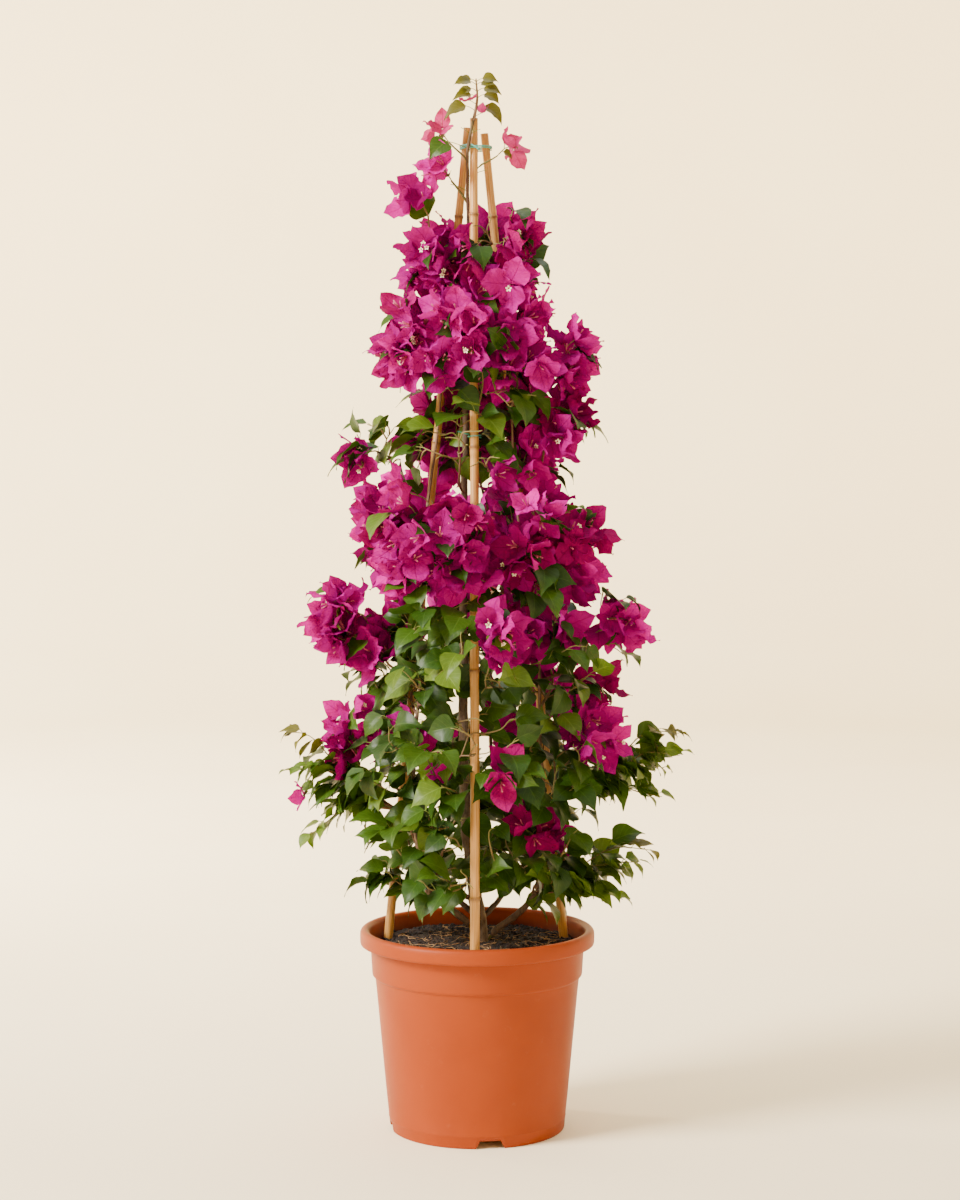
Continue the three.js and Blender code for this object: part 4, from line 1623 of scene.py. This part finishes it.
PATCHES = (
    Patch(-138 * MM, 860 * MM, 40 * MM, 52 * MM),
    Patch(92 * MM, 884 * MM, 62 * MM, 42 * MM),
    Patch(-150 * MM, 650 * MM, 62 * MM, 56 * MM),
    Patch(52 * MM, 636 * MM, 54 * MM, 38 * MM),
    Patch(172 * MM, 650 * MM, 46 * MM, 66 * MM),
    Patch(182 * MM, 528 * MM, 62 * MM, 62 * MM),
    Patch(-172 * MM, 516 * MM, 48 * MM, 64 * MM),
    Patch(8 * MM, 470 * MM, 44 * MM, 15 * MM),
    Patch(-68 * MM, 526 * MM, 14 * MM, 18 * MM),
    Patch(84 * MM, 392 * MM, 22 * MM, 18 * MM),
)


class Habit(Enum):
    """How the sprays of a mass grow."""

    BLOSSOM = "blossom"
    LEAFY = "leaves"
    SHOOT = "shoot"
    LEADER = "leader"
    SPRIG = "sprig"


@dataclass
class Mass:
    """One packed mass of foliage: the space that its sprays fill."""

    node: str
    habit: Habit
    seed: int
    tree: BVHTree
    low: Array
    high: Array

    @property
    def middle(self) -> Array:
        """The middle of its box."""
        return (self.low + self.high) / 2

    @property
    def ring(self) -> str:
        """The ring of masses that it belongs to."""
        return self.node.split("_")[1]

    def chance(self) -> Chance:
        """The mass's own source of chance."""
        return np.random.default_rng(SEED * 100 + self.seed)

    def depth(self, point: Array) -> float:
        """How far inside the mass a point is, less than nought outside.

        Args:
            point: The point.

        Returns:
            The distance to the mass's skin; the channel of a cane does not count as skin.
        """
        near, normal, _, distance = self.tree.find_nearest(Vector(point))
        if (Vector(point) - near).dot(normal) > 0:
            return -distance
        for foot, top in CANE_LINES.values():
            way = unit(top - foot)
            off = np.array(near) - foot
            if distance > 4 * MM and np.linalg.norm(off - way * np.dot(off, way)) < 12 * MM:
                return 2 * distance + 10 * MM
        return distance


@dataclass
class Twig:
    """One twig: its path and its radii."""

    path: Array
    radius: Array


@dataclass
class Crown:
    """Twigs, leaves and blossom, grown into the masses from the wood."""

    bark: Bark = Bark("green_shoot_bark", middle="74503A", old="7C6552")
    spacing_leafy: float = 30 * MM
    spacing_blossom: float = 30.5 * MM
    leaf_length: float = 46 * MM
    bract_length: float = 33 * MM
    cover_from: float = 0.64
    cover_to: float = 1.14
    full_share: float = 0.86
    blossom_depths: tuple[tuple[float, float], ...] = (
        (0.66, 0.012), (0.7, 0.021), (0.86, 0.021), (0.95, 0.021)
    )
    leaf_depth: float = 5 * MM
    leaf_depth_in_blossom: float = 22 * MM
    deepest: float = 46 * MM
    tries: int = 900
    slim_share: float = 0.2
    full_blossom: tuple[tuple[float, float], ...] = ((0.692, 0.842), (0.938, 1.3))
    back_share: tuple[tuple[float, float], ...] = (
        (0.3, 0.04), (0.45, 0.12), (0.6, 0.3), (0.7, 0.6), (0.95, 0.75)
    )
    blooming_shoots: tuple[str, ...] = ("leaves_shoot_left",)
    sprigs: tuple[str, ...] = ("blossom_top_left", "blossom_top_left_high", "blossom_top_right")
    store: BladeStore = field(default_factory=lambda: BladeStore(clearings=list(CLEARINGS)))
    twigs: list[Twig] = field(default_factory=list)

    def read_masses(self) -> list[Mass]:
        """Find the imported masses."""
        masses = []
        for seed, name in enumerate(sorted(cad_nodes())):
            kind = name.split("_")[0]
            if kind not in ("leaves", "blossom"):
                continue
            habit = Habit.BLOSSOM if kind == "blossom" else Habit.LEAFY
            if "shoot" in name:
                habit = Habit.SHOOT
            elif name == "leaves_tip":
                habit = Habit.LEADER
            elif name in self.sprigs:
                habit = Habit.SPRIG
            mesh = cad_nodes()[name].data
            corners = [v.co.copy() for v in mesh.vertices]
            tree = BVHTree.FromPolygons(corners, [p.vertices[:] for p in mesh.polygons])
            low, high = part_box(name)
            masses.append(Mass(name, habit, seed, tree, np.array(low), np.array(high)))
        return masses

    def climbers(self, limbs: list[Limb]) -> list[Array]:
        """Grow long stems from the low boughs up inside the canes.

        Args:
            limbs: The old wood, trunk first.

        Returns:
            The middle lines that branches can leave from.
        """
        lines = [limbs[0].path]
        by_name = {limb.name: limb for limb in limbs}
        plans = (("bough_left", 196, 1.09), ("bough_right", 340, 1.12), ("bough_back_right", 80, 1.05))
        for k, (name, bearing, top) in enumerate(plans):
            start = by_name[name].path[-1]
            count = 9
            height = np.linspace(start[2], top, count)
            share = np.linspace(0, 1, count)
            angle = np.radians(bearing) + 0.5 * wobble(share * 5, k + 1.0)
            out = np.interp(share, [0, 0.15, 1], [np.hypot(*start[:2]), 0.098, 0.03])
            out = out * (1 + 0.12 * wobble(share * 7, k + 3.0))
            points = np.stack([out * np.cos(angle), out * np.sin(angle), height], 1)
            points[0] = start
            line = smooth_path(points, 70)
            lines.append(line)
            self.twigs.append(Twig(line, np.linspace(3.0, 1.3, 70) * MM))
        return lines

    def tips(self, mass: Mass, spacing: float, rng: Chance) -> list[tuple[Array, bool]]:
        """Choose where the sprays of a mass end, spread apart and mostly on its outer side.

        Args:
            mass: The mass.
            spacing: The least distance between two ends.
            rng: The source of chance.

        Returns:
            The ends, nearest to the crown's axis first, and whether each is blossom.
        """
        found = [(end, self.blooms(end, rng)) for end in self.cane_cover(mass)]
        outward = unit(mass.middle * [1, 1, 0])
        slim = self.slim_share * float((mass.high - mass.low).min())
        for _ in range(self.tries):
            point = rng.uniform(mass.low, mass.high)
            depth = mass.depth(point)
            bloom = self.blooms(point, rng)
            if depth < min(self.least_depth(point, bloom), slim) or depth > self.deepest:
                continue
            lean = float(np.dot(unit((point - mass.middle) * [1, 1, 0.4]), outward))
            if rng.random() > 0.28 + 0.72 * max(0.0, lean + 0.35):
                continue
            if any(np.linalg.norm(point - other) < spacing for other, _ in found):
                continue
            found.append((point, bloom))
        return sorted(found, key=lambda tip: float(np.hypot(*tip[0][:2])))

    def least_depth(self, point: Array, bloom: bool) -> float:
        """How deep in its mass a spray must end.

        Args:
            point: Its end.
            bloom: Whether it is blossom.

        Returns:
            The depth; leaves among full blossom stay further in.
        """
        if bloom:
            heights, depths = np.array(self.blossom_depths).T
            return float(np.interp(point[2], heights, depths))
        full = any(low < point[2] < high for low, high in self.full_blossom)
        return self.leaf_depth_in_blossom if full else self.leaf_depth

    def cane_cover(self, mass: Mass) -> list[Array]:
        """Put spray ends of a mass in front of the front cane, where the cane is not meant to show.

        Args:
            mass: The mass.

        Returns:
            The ends.
        """
        foot, top = CANE_LINES["cane_front"]
        found = []
        for height in np.arange(self.cover_from, self.cover_to, 34 * MM):
            share = (height - foot[2]) / (top[2] - foot[2])
            point = foot + share * (top - foot) - [0, 26 * MM, 0]
            shown = any(c.cane == "cane_front" and c.low < height < c.high for c in CLEARINGS)
            if not shown and mass.depth(point) > 3 * MM:
                found.append(point)
        return found

    def blooms(self, end: Array, rng: Chance) -> bool:
        """Whether a spray ends in blossom.

        Args:
            end: Its tip.
            rng: The source of chance.

        Returns:
            True for blossom and false for leaves.
        """
        if any(low < end[2] < high for low, high in self.full_blossom):
            return rng.random() < self.full_share
        if end[1] < 20 * MM or abs(end[0]) > max(0.1, end[1]):
            return any(patch.holds(end) for patch in PATCHES) and rng.random() < 0.93
        heights, shares = np.array(self.back_share).T
        drift = 0.5 + 0.5 * wobble(np.arctan2(end[1], end[0]) * 4 + end[2] * 21, 2.0)
        return bool(drift < np.interp(end[2], heights, shares))

    def branch(self, mass: Mass, lines: list[Array], rng: Chance) -> Array:
        """Grow the mass's own branch from the nearest stem into its middle.

        Args:
            mass: The mass.
            lines: The stems.
            rng: The source of chance.

        Returns:
            The branch's middle line.
        """
        target = mass.middle
        wanted = target - UP * min(0.07, 0.45 * float(np.hypot(*target[:2])) + 0.03)
        every = np.vstack(lines)
        start = every[np.linalg.norm(every - wanted, axis=1).argmin()]
        out = unit((target - start) * [1, 1, 0.2])
        span = float(np.linalg.norm(target - start))
        early = start + out * span * 0.35 + UP * span * 0.1 + rng.normal(0, 3 * MM, 3)
        late = start + (target - start) * 0.75 + UP * span * 0.08 + rng.normal(0, 3 * MM, 3)
        line = smooth_path([start, early, late, target], 16)
        self.twigs.append(Twig(line, np.linspace(2.0, 1.1, 16) * MM))
        return line

    def spray(
        self,
        start: Array,
        heading: Array,
        end: Array,
        rng: Chance,
    ) -> Array:
        """Grow one twig that arches over to its end.

        Args:
            start: Its foot.
            heading: The direction of the wood that it leaves.
            end: Its tip.
            rng: The source of chance.

        Returns:
            Its middle line.
        """
        span = float(np.linalg.norm(end - start))
        arch = UP * span * 0.1
        early = start + 0.35 * (end - start) + heading * span * 0.12 + arch + rng.normal(0, 0.03 * span, 3)
        late = start + 0.75 * (end - start) + arch + rng.normal(0, 0.03 * span, 3)
        return smooth_path([start, early, late, end], 12)

    def leaf_at(
        self,
        point: Array,
        way: Array,
        side: Array,
        size: float,
        tone: Tone,
        rng: Chance,
    ) -> None:
        """Hang one leaf on its stalk.

        Args:
            point: The place on the twig.
            way: The twig's direction there.
            side: The side that the leaf leaves on.
            size: The blade's length.
            tone: The blade's tone.
            rng: The source of chance.
        """
        outward = unit(point * [1, 1, 0] + 0.004 * rng.normal(size=3) * [1, 1, 0])
        stalk = unit(side * 0.8 + way * 0.45 + UP * 0.15 + outward * 0.35)
        base = point + stalk * size * rng.uniform(0.2, 0.32)
        axis = stalk * 0.75 + outward * 0.25 - UP * rng.uniform(0.35, 1.15) + rng.normal(0, 0.18, 3)
        normal = outward * rng.uniform(0.45, 1.0) + UP * rng.uniform(0.3, 0.9) + rng.normal(0, 0.22, 3)
        if self.store.lay_leaf(tone, base, axis, normal, size, rng):
            self.store.lay_stalk(point, base, UP * 0.03 * size, 0.45 * MM)

    def leaves_along(
        self,
        path: Array,
        first: float,
        gap: float,
        tone: Tone,
        rng: Chance,
        size: float = 1.0,
        taper: float = 0.25,
    ) -> None:
        """Set leaves by turns along a twig.

        Args:
            path: The twig's middle line.
            first: Where the first leaf is, in metres from the foot.
            gap: The distance between leaves.
            tone: Their tone.
            rng: The source of chance.
            size: A scale on their length.
            taper: How much smaller they are at the tip.
        """
        run = along(path)
        tangent, one, two = path_frames(path)
        angle = rng.random() * math.tau
        at = first
        while at < run[-1] + 0.1 * gap:
            share = min(at / run[-1], 1.0)
            i = min(int(np.searchsorted(run, at)), len(path) - 1)
            point = point_at(path, run, at)
            side = math.cos(angle) * one[i] + math.sin(angle) * two[i]
            if side[2] < -0.4:
                side = unit(side * [1, 1, -0.3])
            length = self.leaf_length * size * (1 - taper * share**2) * rng.uniform(0.78, 1.12)
            self.leaf_at(point, tangent[i], side, length, tone, rng)
            angle += 2.4 + rng.normal(0, 0.25)
            at += gap * rng.uniform(0.75, 1.25)

    def cluster(
        self,
        path: Array,
        count: int,
        tone: Tone,
        rng: Chance,
        size: float = 1.0,
        open_share: float = 0.2,
    ) -> None:
        """Set blossom round the end of a twig.

        Args:
            path: The twig's middle line.
            count: How many threes of bracts.
            tone: Their tone.
            rng: The source of chance.
            size: A scale on their length.
            open_share: The chance that a flower is open.
        """
        run = along(path)
        tangent, one, two = path_frames(path)
        outward = unit(path[-1] * [1, 1, 0])
        angle = rng.random() * math.tau
        for k in range(count):
            back = min(run[-1] * 0.8, 46 * MM) * (k / max(count, 1)) ** 0.9
            at = run[-1] - back
            i = min(int(np.searchsorted(run, at)), len(path) - 1)
            point = point_at(path, run, at)
            side = math.cos(angle) * one[i] + math.sin(angle) * two[i]
            lead = unit(side + 0.55 * outward + 0.2 * UP + (0.9 if k == 0 else 0.2) * tangent[i])
            stalk = rng.uniform(6, 15) * MM * size
            base = point + lead * stalk
            axis = unit(lead + 0.35 * outward - 0.15 * UP + rng.normal(0, 0.28, 3))
            length = self.bract_length * size * rng.uniform(0.84, 1.12)
            if self.store.lay_triad(tone, base, axis, length, rng, open_share):
                self.store.lay_stalk(point, base, UP * 1.5 * MM, 0.5 * MM)
            angle += 2.4 + rng.normal(0, 0.2)

    def leaf_tone(self, rng: Chance, fresh: float) -> Tone:
        """Choose a spray's leaf tone.

        Args:
            rng: The source of chance.
            fresh: The chance of a fresh green.

        Returns:
            The tone.
        """
        draw = rng.random()
        if draw < fresh:
            return Tone.LEAF_FRESH
        return Tone.LEAF_MID if draw < fresh + 0.42 else Tone.LEAF_DEEP

    def bract_tone(self, rng: Chance, height: float) -> Tone:
        """Choose a spray's bract tone.

        Args:
            rng: The source of chance.
            height: How high it is in the crown, from nought to one.

        Returns:
            The tone.
        """
        draw = rng.random()
        if draw < 0.16 + 0.2 * (1 - height):
            return Tone.BRACT_BRIGHT
        return Tone.BRACT_DEEP if draw > 0.76 else Tone.BRACT_MID

    def fill(self, mass: Mass, lines: list[Array]) -> None:
        """Grow a full mass.

        Args:
            mass: The mass.
            lines: The stems.
        """
        rng = mass.chance()
        main = self.branch(mass, lines, rng)
        spacing = self.spacing_blossom if mass.habit is Habit.BLOSSOM else self.spacing_leafy
        spacing *= 0.82 if mass.ring == "neck" else 1.0
        wood = [
            (point, unit(main[min(i + 1, 15)] - main[max(i - 1, 0)])) for i, point in enumerate(main[3:], 3)
        ]
        height = mass.middle[2] / PLANT_HIGH[2]
        for end, bloom in self.tips(mass, spacing, rng):
            drop = [0.4 * max(0.0, point[2] - end[2] + 0.01) for point, _ in wood]
            reach = [float(np.linalg.norm(end - point)) + down for (point, _), down in zip(wood, drop)]
            start, heading = wood[int(np.argmin(reach))]
            path = self.spray(start, heading, end, rng)
            self.twigs.append(Twig(path, np.linspace(1.15, 0.6, 12) * MM))
            wood += [(path[i], unit(path[i + 1] - path[i])) for i in (4, 6, 8)]
            length = along(path)[-1]
            if bloom:
                self.cluster(path, int(rng.integers(3, 6)), self.bract_tone(rng, height), rng)
                first = max(0.3 * length, length - 90 * MM)
                self.leaves_along(path, first, 32 * MM, self.leaf_tone(rng, 0.12), rng, 0.9)
            else:
                first = max(0.2 * length, length - 95 * MM)
                self.leaves_along(path, first, 20 * MM, self.leaf_tone(rng, 0.12), rng)

    def grow_shoot(self, mass: Mass, lines: list[Array]) -> None:
        """Grow long young shoots out through a thin mass.

        Args:
            mass: The mass.
            lines: The stems.
        """
        rng = mass.chance()
        outward = unit(mass.middle * [1, 1, 0])
        inner = mass.middle - outward * 0.1 - UP * 0.03
        every = np.vstack(lines)
        start = every[np.linalg.norm(every - (inner - UP * 0.06), axis=1).argmin()]
        foot = smooth_path([start, (start + inner) / 2 + UP * 0.01, inner], 12)
        self.twigs.append(Twig(foot, np.linspace(2.2, 1.6, 12) * MM))
        half = (mass.high - mass.low) / 2
        reaches = ((0.88, 0.82), (0.4, -0.1), (0.2, 0.35), (0.35, -0.8), (-0.3, -0.3), (0.7, 0.25))
        for k, (out_share, up_share) in enumerate(reaches):
            end = mass.middle + outward * out_share * half[0] + UP * up_share * half[2]
            path = smooth_path(self.spray(inner, outward, end + rng.normal(0, 4 * MM, 3), rng), 20)
            self.twigs.append(Twig(path, np.linspace(1.5, 0.5, 20) * MM))
            length = along(path)[-1]
            whole = Tone.LEAF_MID if rng.random() < 0.6 else Tone.LEAF_FRESH
            self.leaves_along(path[:14], 0.1 * length, 11 * MM, whole, rng, 0.98, 0.1)
            young = Tone.LEAF_BRONZE if k == 0 else Tone.LEAF_FRESH
            self.leaves_along(path[13:], 4 * MM, 10 * MM, young, rng, 0.68, 0.4)
            if k == 1 and mass.node in self.blooming_shoots:
                self.cluster(path, 1, Tone.BRACT_BRIGHT, rng, 0.75, 0.0)

    def grow_leader(self, mass: Mass, trunk: Limb) -> None:
        """Grow the leader's tip with its leaves in pairs.

        Args:
            mass: The mass round the tip.
            trunk: The trunk, whose end the leader goes on from.
        """
        rng = mass.chance()
        start = trunk.path[-1]
        top = np.array([start[0] + 3 * MM, start[1] + 2 * MM, mass.high[2] - 3 * MM])
        path = smooth_path([start, (start + top) / 2 + [3 * MM, 0, 0], top], 14)
        self.twigs.append(Twig(path, np.linspace(2.5, 1.0, 14) * MM))
        low = mass.low[2] + 4 * MM
        stems = np.vstack([trunk.path, path])
        for k, share in enumerate((0.1, 0.42, 0.62, 0.78, 0.9, 0.97)):
            z = low + (top[2] - low) * share
            point = stems[np.abs(stems[:, 2] - z).argmin()]
            for side in (-1, 1):
                turn = 0.3 * (-1) ** k + rng.normal(0, 0.25)
                out = np.array([side * math.cos(turn), -0.5 * math.sin(turn) - 0.2, 0.0])
                size = (42 - 22 * share) * MM * rng.uniform(0.85, 1.1)
                tone = Tone.LEAF_MID if share < 0.3 else Tone.LEAF_BRONZE
                base = point + unit(out + UP * 0.5) * size * 0.4
                self.store.lay_stalk(point, base, UP * 1 * MM, 0.45 * MM)
                axis = out * 0.8 - UP * rng.uniform(0.3, 1.0) * (1.1 - share)
                normal = out * 0.5 + UP * 0.5 + np.array([0, -0.6, 0])
                self.store.lay_leaf(tone, base, axis, normal, size, rng)
        for z, side, reach in ((1.196, -1, 22), (1.216, 1, 24), (1.247, -1, 26), (1.262, 1, 6)):
            point = stems[np.abs(stems[:, 2] - z).argmin()]
            base = point + np.array([side * reach, -7, 8]) * MM
            self.store.lay_stalk(point, base, UP * 1 * MM, 0.5 * MM)
            out = np.array([side * 0.7, -0.3, 0.0])
            self.store.lay_leaf(Tone.LEAF_MID, base, out - UP * 0.7, UP * 0.5 + [0, -0.8, 0], 33 * MM, rng)
        for share, side in ((0.3, 1), (0.55, -1)):
            z = low + (top[2] - low) * share
            point = stems[np.abs(stems[:, 2] - z).argmin()]
            base = point + [side * 9 * MM, -2 * MM, 5 * MM]
            self.store.lay_stalk(point, base, UP * 0.5 * MM, 0.45 * MM)
            self.store.lay_triad(Tone.BRACT_YOUNG, base, UP + [0.3 * side, 0, 0], 13 * MM, rng, 0.0)

    def grow_sprig(self, mass: Mass, limbs: list[Limb]) -> None:
        """Grow one small spray at the end of its own thin bough.

        Args:
            mass: The mass.
            limbs: The old wood.
        """
        rng = mass.chance()
        bough = next(limb for limb in limbs if limb.name == mass.node.replace("blossom", "bough"))
        path = self.spray(bough.path[-1], unit(bough.path[-1] - bough.path[0]), mass.middle, rng)
        self.twigs.append(Twig(path, np.linspace(0.9, 0.6, 12) * MM))
        big = mass.high[2] - mass.low[2] > 36 * MM
        tone = Tone.BRACT_BRIGHT if big else Tone.BRACT_YOUNG
        self.cluster(path, 4 if big else 2, tone, rng, 0.84 if big else 0.7, 0.1)
        self.leaves_along(path, 0.2 * along(path)[-1], 14 * MM, Tone.LEAF_BRONZE, rng, 0.4)

    def build(self, limbs: list[Limb]) -> None:
        """Grow the whole crown and hand over its pieces.

        Args:
            limbs: The old wood, trunk first.
        """
        lines = self.climbers(limbs)
        masses = self.read_masses()
        for mass in masses:
            if mass.habit is Habit.SHOOT:
                self.grow_shoot(mass, lines)
            elif mass.habit is Habit.LEADER:
                self.grow_leader(mass, limbs[0])
            elif mass.habit is Habit.SPRIG:
                self.grow_sprig(mass, limbs)
            else:
                self.fill(mass, lines)
        self.dress_boughs(limbs)
        self.hand_over(masses)

    def dress_boughs(self, limbs: list[Limb]) -> None:
        """Hang a few low leaves on the boughs just over the compost.

        Args:
            limbs: The old wood, trunk first.
        """
        rng = np.random.default_rng(SEED * 100 + 99)
        for limb in limbs[1:]:
            if limb.path[-1][2] > 0.6:
                continue
            path = smooth_path(limb.path, 20)
            start = path[11]
            end = start + unit(start * [1, 1, 0]) * 26 * MM + UP * 16 * MM + rng.normal(0, 4 * MM, 3)
            twig = self.spray(start, unit(path[12] - path[11]), end, rng)
            self.twigs.append(Twig(twig, np.linspace(0.9, 0.6, 12) * MM))
            self.leaves_along(twig, 8 * MM, 8 * MM, self.leaf_tone(rng, 0.3), rng, 0.95)

    def hand_over(self, masses: list[Mass]) -> None:
        """Turn the piles into pieces.

        Args:
            masses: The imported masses, which the pieces stand for.
        """
        for twig in self.twigs:
            points, faces, uv = tube(twig.path, twig.radius, 6)
            age = np.repeat(np.clip(twig.radius / (4.5 * MM), 0.05, 1), 6)
            self.store.green.add(points, faces, uv, age)
        leaf_nodes = [mass.node for mass in masses if mass.node.startswith("leaves")]
        bract_nodes = [mass.node for mass in masses if mass.node.startswith("blossom")]
        stands_for = {Tone.LEAF_DEEP: leaf_nodes, Tone.BRACT_MID: bract_nodes}
        for tone, pile in self.store.piles.items():
            piece = pile.build(tone.value.name + "s", tone.value.material())
            finished(piece, stands_for.get(tone, ()))
        finished(self.store.green.build("twigs_and_stalks", self.bark.material(), mark="age"))
        tube_finish = PlainGrain("flower_tube_rose", "C45A7C", "8E3A4E", 3.0, 0.6)
        finished(self.store.tubes.build("flower_tubes", tube_finish.material()))
        star_finish = PlainGrain("flower_star_cream", "FBF5DC", "F0E2B4", 5.0, 0.5)
        finished(self.store.stars.build("flower_stars", star_finish.material()))


# ---------------------------------------------------------------- the studio


@dataclass
class Studio:
    """A pale floor that curves up all round, soft lights, and the camera."""

    floor_colour: str = "FFF1CC"
    floor_shade: str = "FDECC6"
    sky_colour: str = "FCF8F2"
    sky_strength: float = 0.86
    floor_radius: float = 7.0
    wall_height: float = 3.7
    cove: float = 2.2
    distance: float = 3.100
    eye_height: float = 0.862
    pitch_deg: float = 3.42
    pan_deg: float = 0.065
    lens_mm: float = 73.35

    def floor(self) -> None:
        """Build the floor and its cove."""
        flat = self.floor_radius - self.cove
        profile = [(0.0, 0.0), (1.0, 0.0), (flat, 0.0)]
        for step in range(1, 13):
            angle = math.pi / 2 * step / 12
            height = self.cove - self.cove * math.cos(angle)
            profile.append((flat + self.cove * math.sin(angle), height))
        profile += [(self.floor_radius, self.wall_height), (0.0, self.wall_height)]
        columns = np.linspace(0, math.tau, 96, endpoint=False)
        points, faces = lathe(profile, columns)
        pile = MeshPile()
        pile.add(points, [block[:, ::-1] for block in faces[:-1]])
        material, tree = new_material("painted_cove")
        place = add(tree, "ShaderNodeTexCoord").outputs["Object"]
        cloud = add(tree, "ShaderNodeTexNoise", {"Vector": place, "Scale": 1.3, "Detail": 3.0})
        stops = [(0.3, self.floor_shade), (0.7, self.floor_colour)]
        colour = add(tree, "ShaderNodeValToRGB", {"Fac": cloud.outputs["Fac"]}, stops).outputs["Color"]
        shader = add(tree, "ShaderNodeBsdfPrincipled", {"Base Color": colour, "Roughness": 0.8})
        add(tree, "ShaderNodeOutputMaterial", {"Surface": shader.outputs[0]})
        pile.build("floor_and_cove", material)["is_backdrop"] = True

    def lamp(
        self,
        name: str,
        place: Sequence[float],
        aim: Sequence[float],
        size: float,
        watts: float,
        colour: str,
    ) -> None:
        """Hang one square soft light.

        Args:
            name: Its name.
            place: Where it hangs.
            aim: What it points at.
            size: Its width.
            watts: Its power.
            colour: Its colour.
        """
        data = bpy.data.lights.new(name, "AREA")
        data.shape = "SQUARE"
        data.size = size
        data.energy = watts
        data.color = linear(colour)[:3]
        light = bpy.data.objects.new(name, data)
        light.location = place
        light.rotation_euler = (Vector(aim) - Vector(place)).to_track_quat("-Z", "Y").to_euler()
        bpy.context.scene.collection.objects.link(light)

    def lights(self) -> None:
        """Hang the lights: a broad key from the left, a weak light from above, two lights on the wall behind,
        and a soft sky.
        """
        self.lamp("key_light", (-3.4, -1.8, 2.9), (0, 0, 0.6), 1.5, 640, "FFF8F0")
        self.lamp("top_light", (0.3, 1.2, 3.8), (0, 0, 0.8), 2.4, 60, "FFFBF5")
        self.lamp("wall_light_left", (-3.2, 1.6, 2.6), (-1.0, 7.0, 1.2), 2.4, 780, "FFF6E4")
        self.lamp("wall_light_right", (3.2, 1.6, 2.6), (1.6, 7.0, 1.2), 2.4, 200, "FFE2B0")
        world = bpy.data.worlds.new("studio_sky")
        world.use_nodes = True
        sky = world.node_tree.nodes["Background"].inputs
        sky["Color"].default_value = linear(self.sky_colour)
        sky["Strength"].default_value = self.sky_strength
        bpy.context.scene.world = world

    def camera(self) -> None:
        """Stand the camera in front of the pot, a little above its middle."""
        data = bpy.data.cameras.new("camera")
        data.sensor_width = 36.0
        data.lens = self.lens_mm
        data.clip_end = 100.0
        camera = bpy.data.objects.new("camera", data)
        camera.location = (0.0, -self.distance, self.eye_height)
        camera.rotation_euler = (math.radians(90 - self.pitch_deg), 0.0, math.radians(-self.pan_deg))
        bpy.context.scene.collection.objects.link(camera)
        bpy.context.scene.camera = camera

    def build(self) -> None:
        """Build the studio."""
        self.floor()
        self.lights()
        self.camera()


def main() -> None:
    """Build everything in order."""
    logging.basicConfig(level=logging.INFO, format="%(name)s: %(message)s")
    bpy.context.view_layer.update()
    Studio().build()
    Pot().build()
    Compost().build()
    Canes().build()
    WireTies().build()
    limbs = OldWood().build()
    Crown().build(limbs)
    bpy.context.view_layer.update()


if __name__ == "__main__":
    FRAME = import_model()
    PLANT_LOW, PLANT_HIGH = (np.array(corner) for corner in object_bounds())
    CANE_LINES = {name: Canes().axis(name)[:2] for name in Canes().names}
    main()
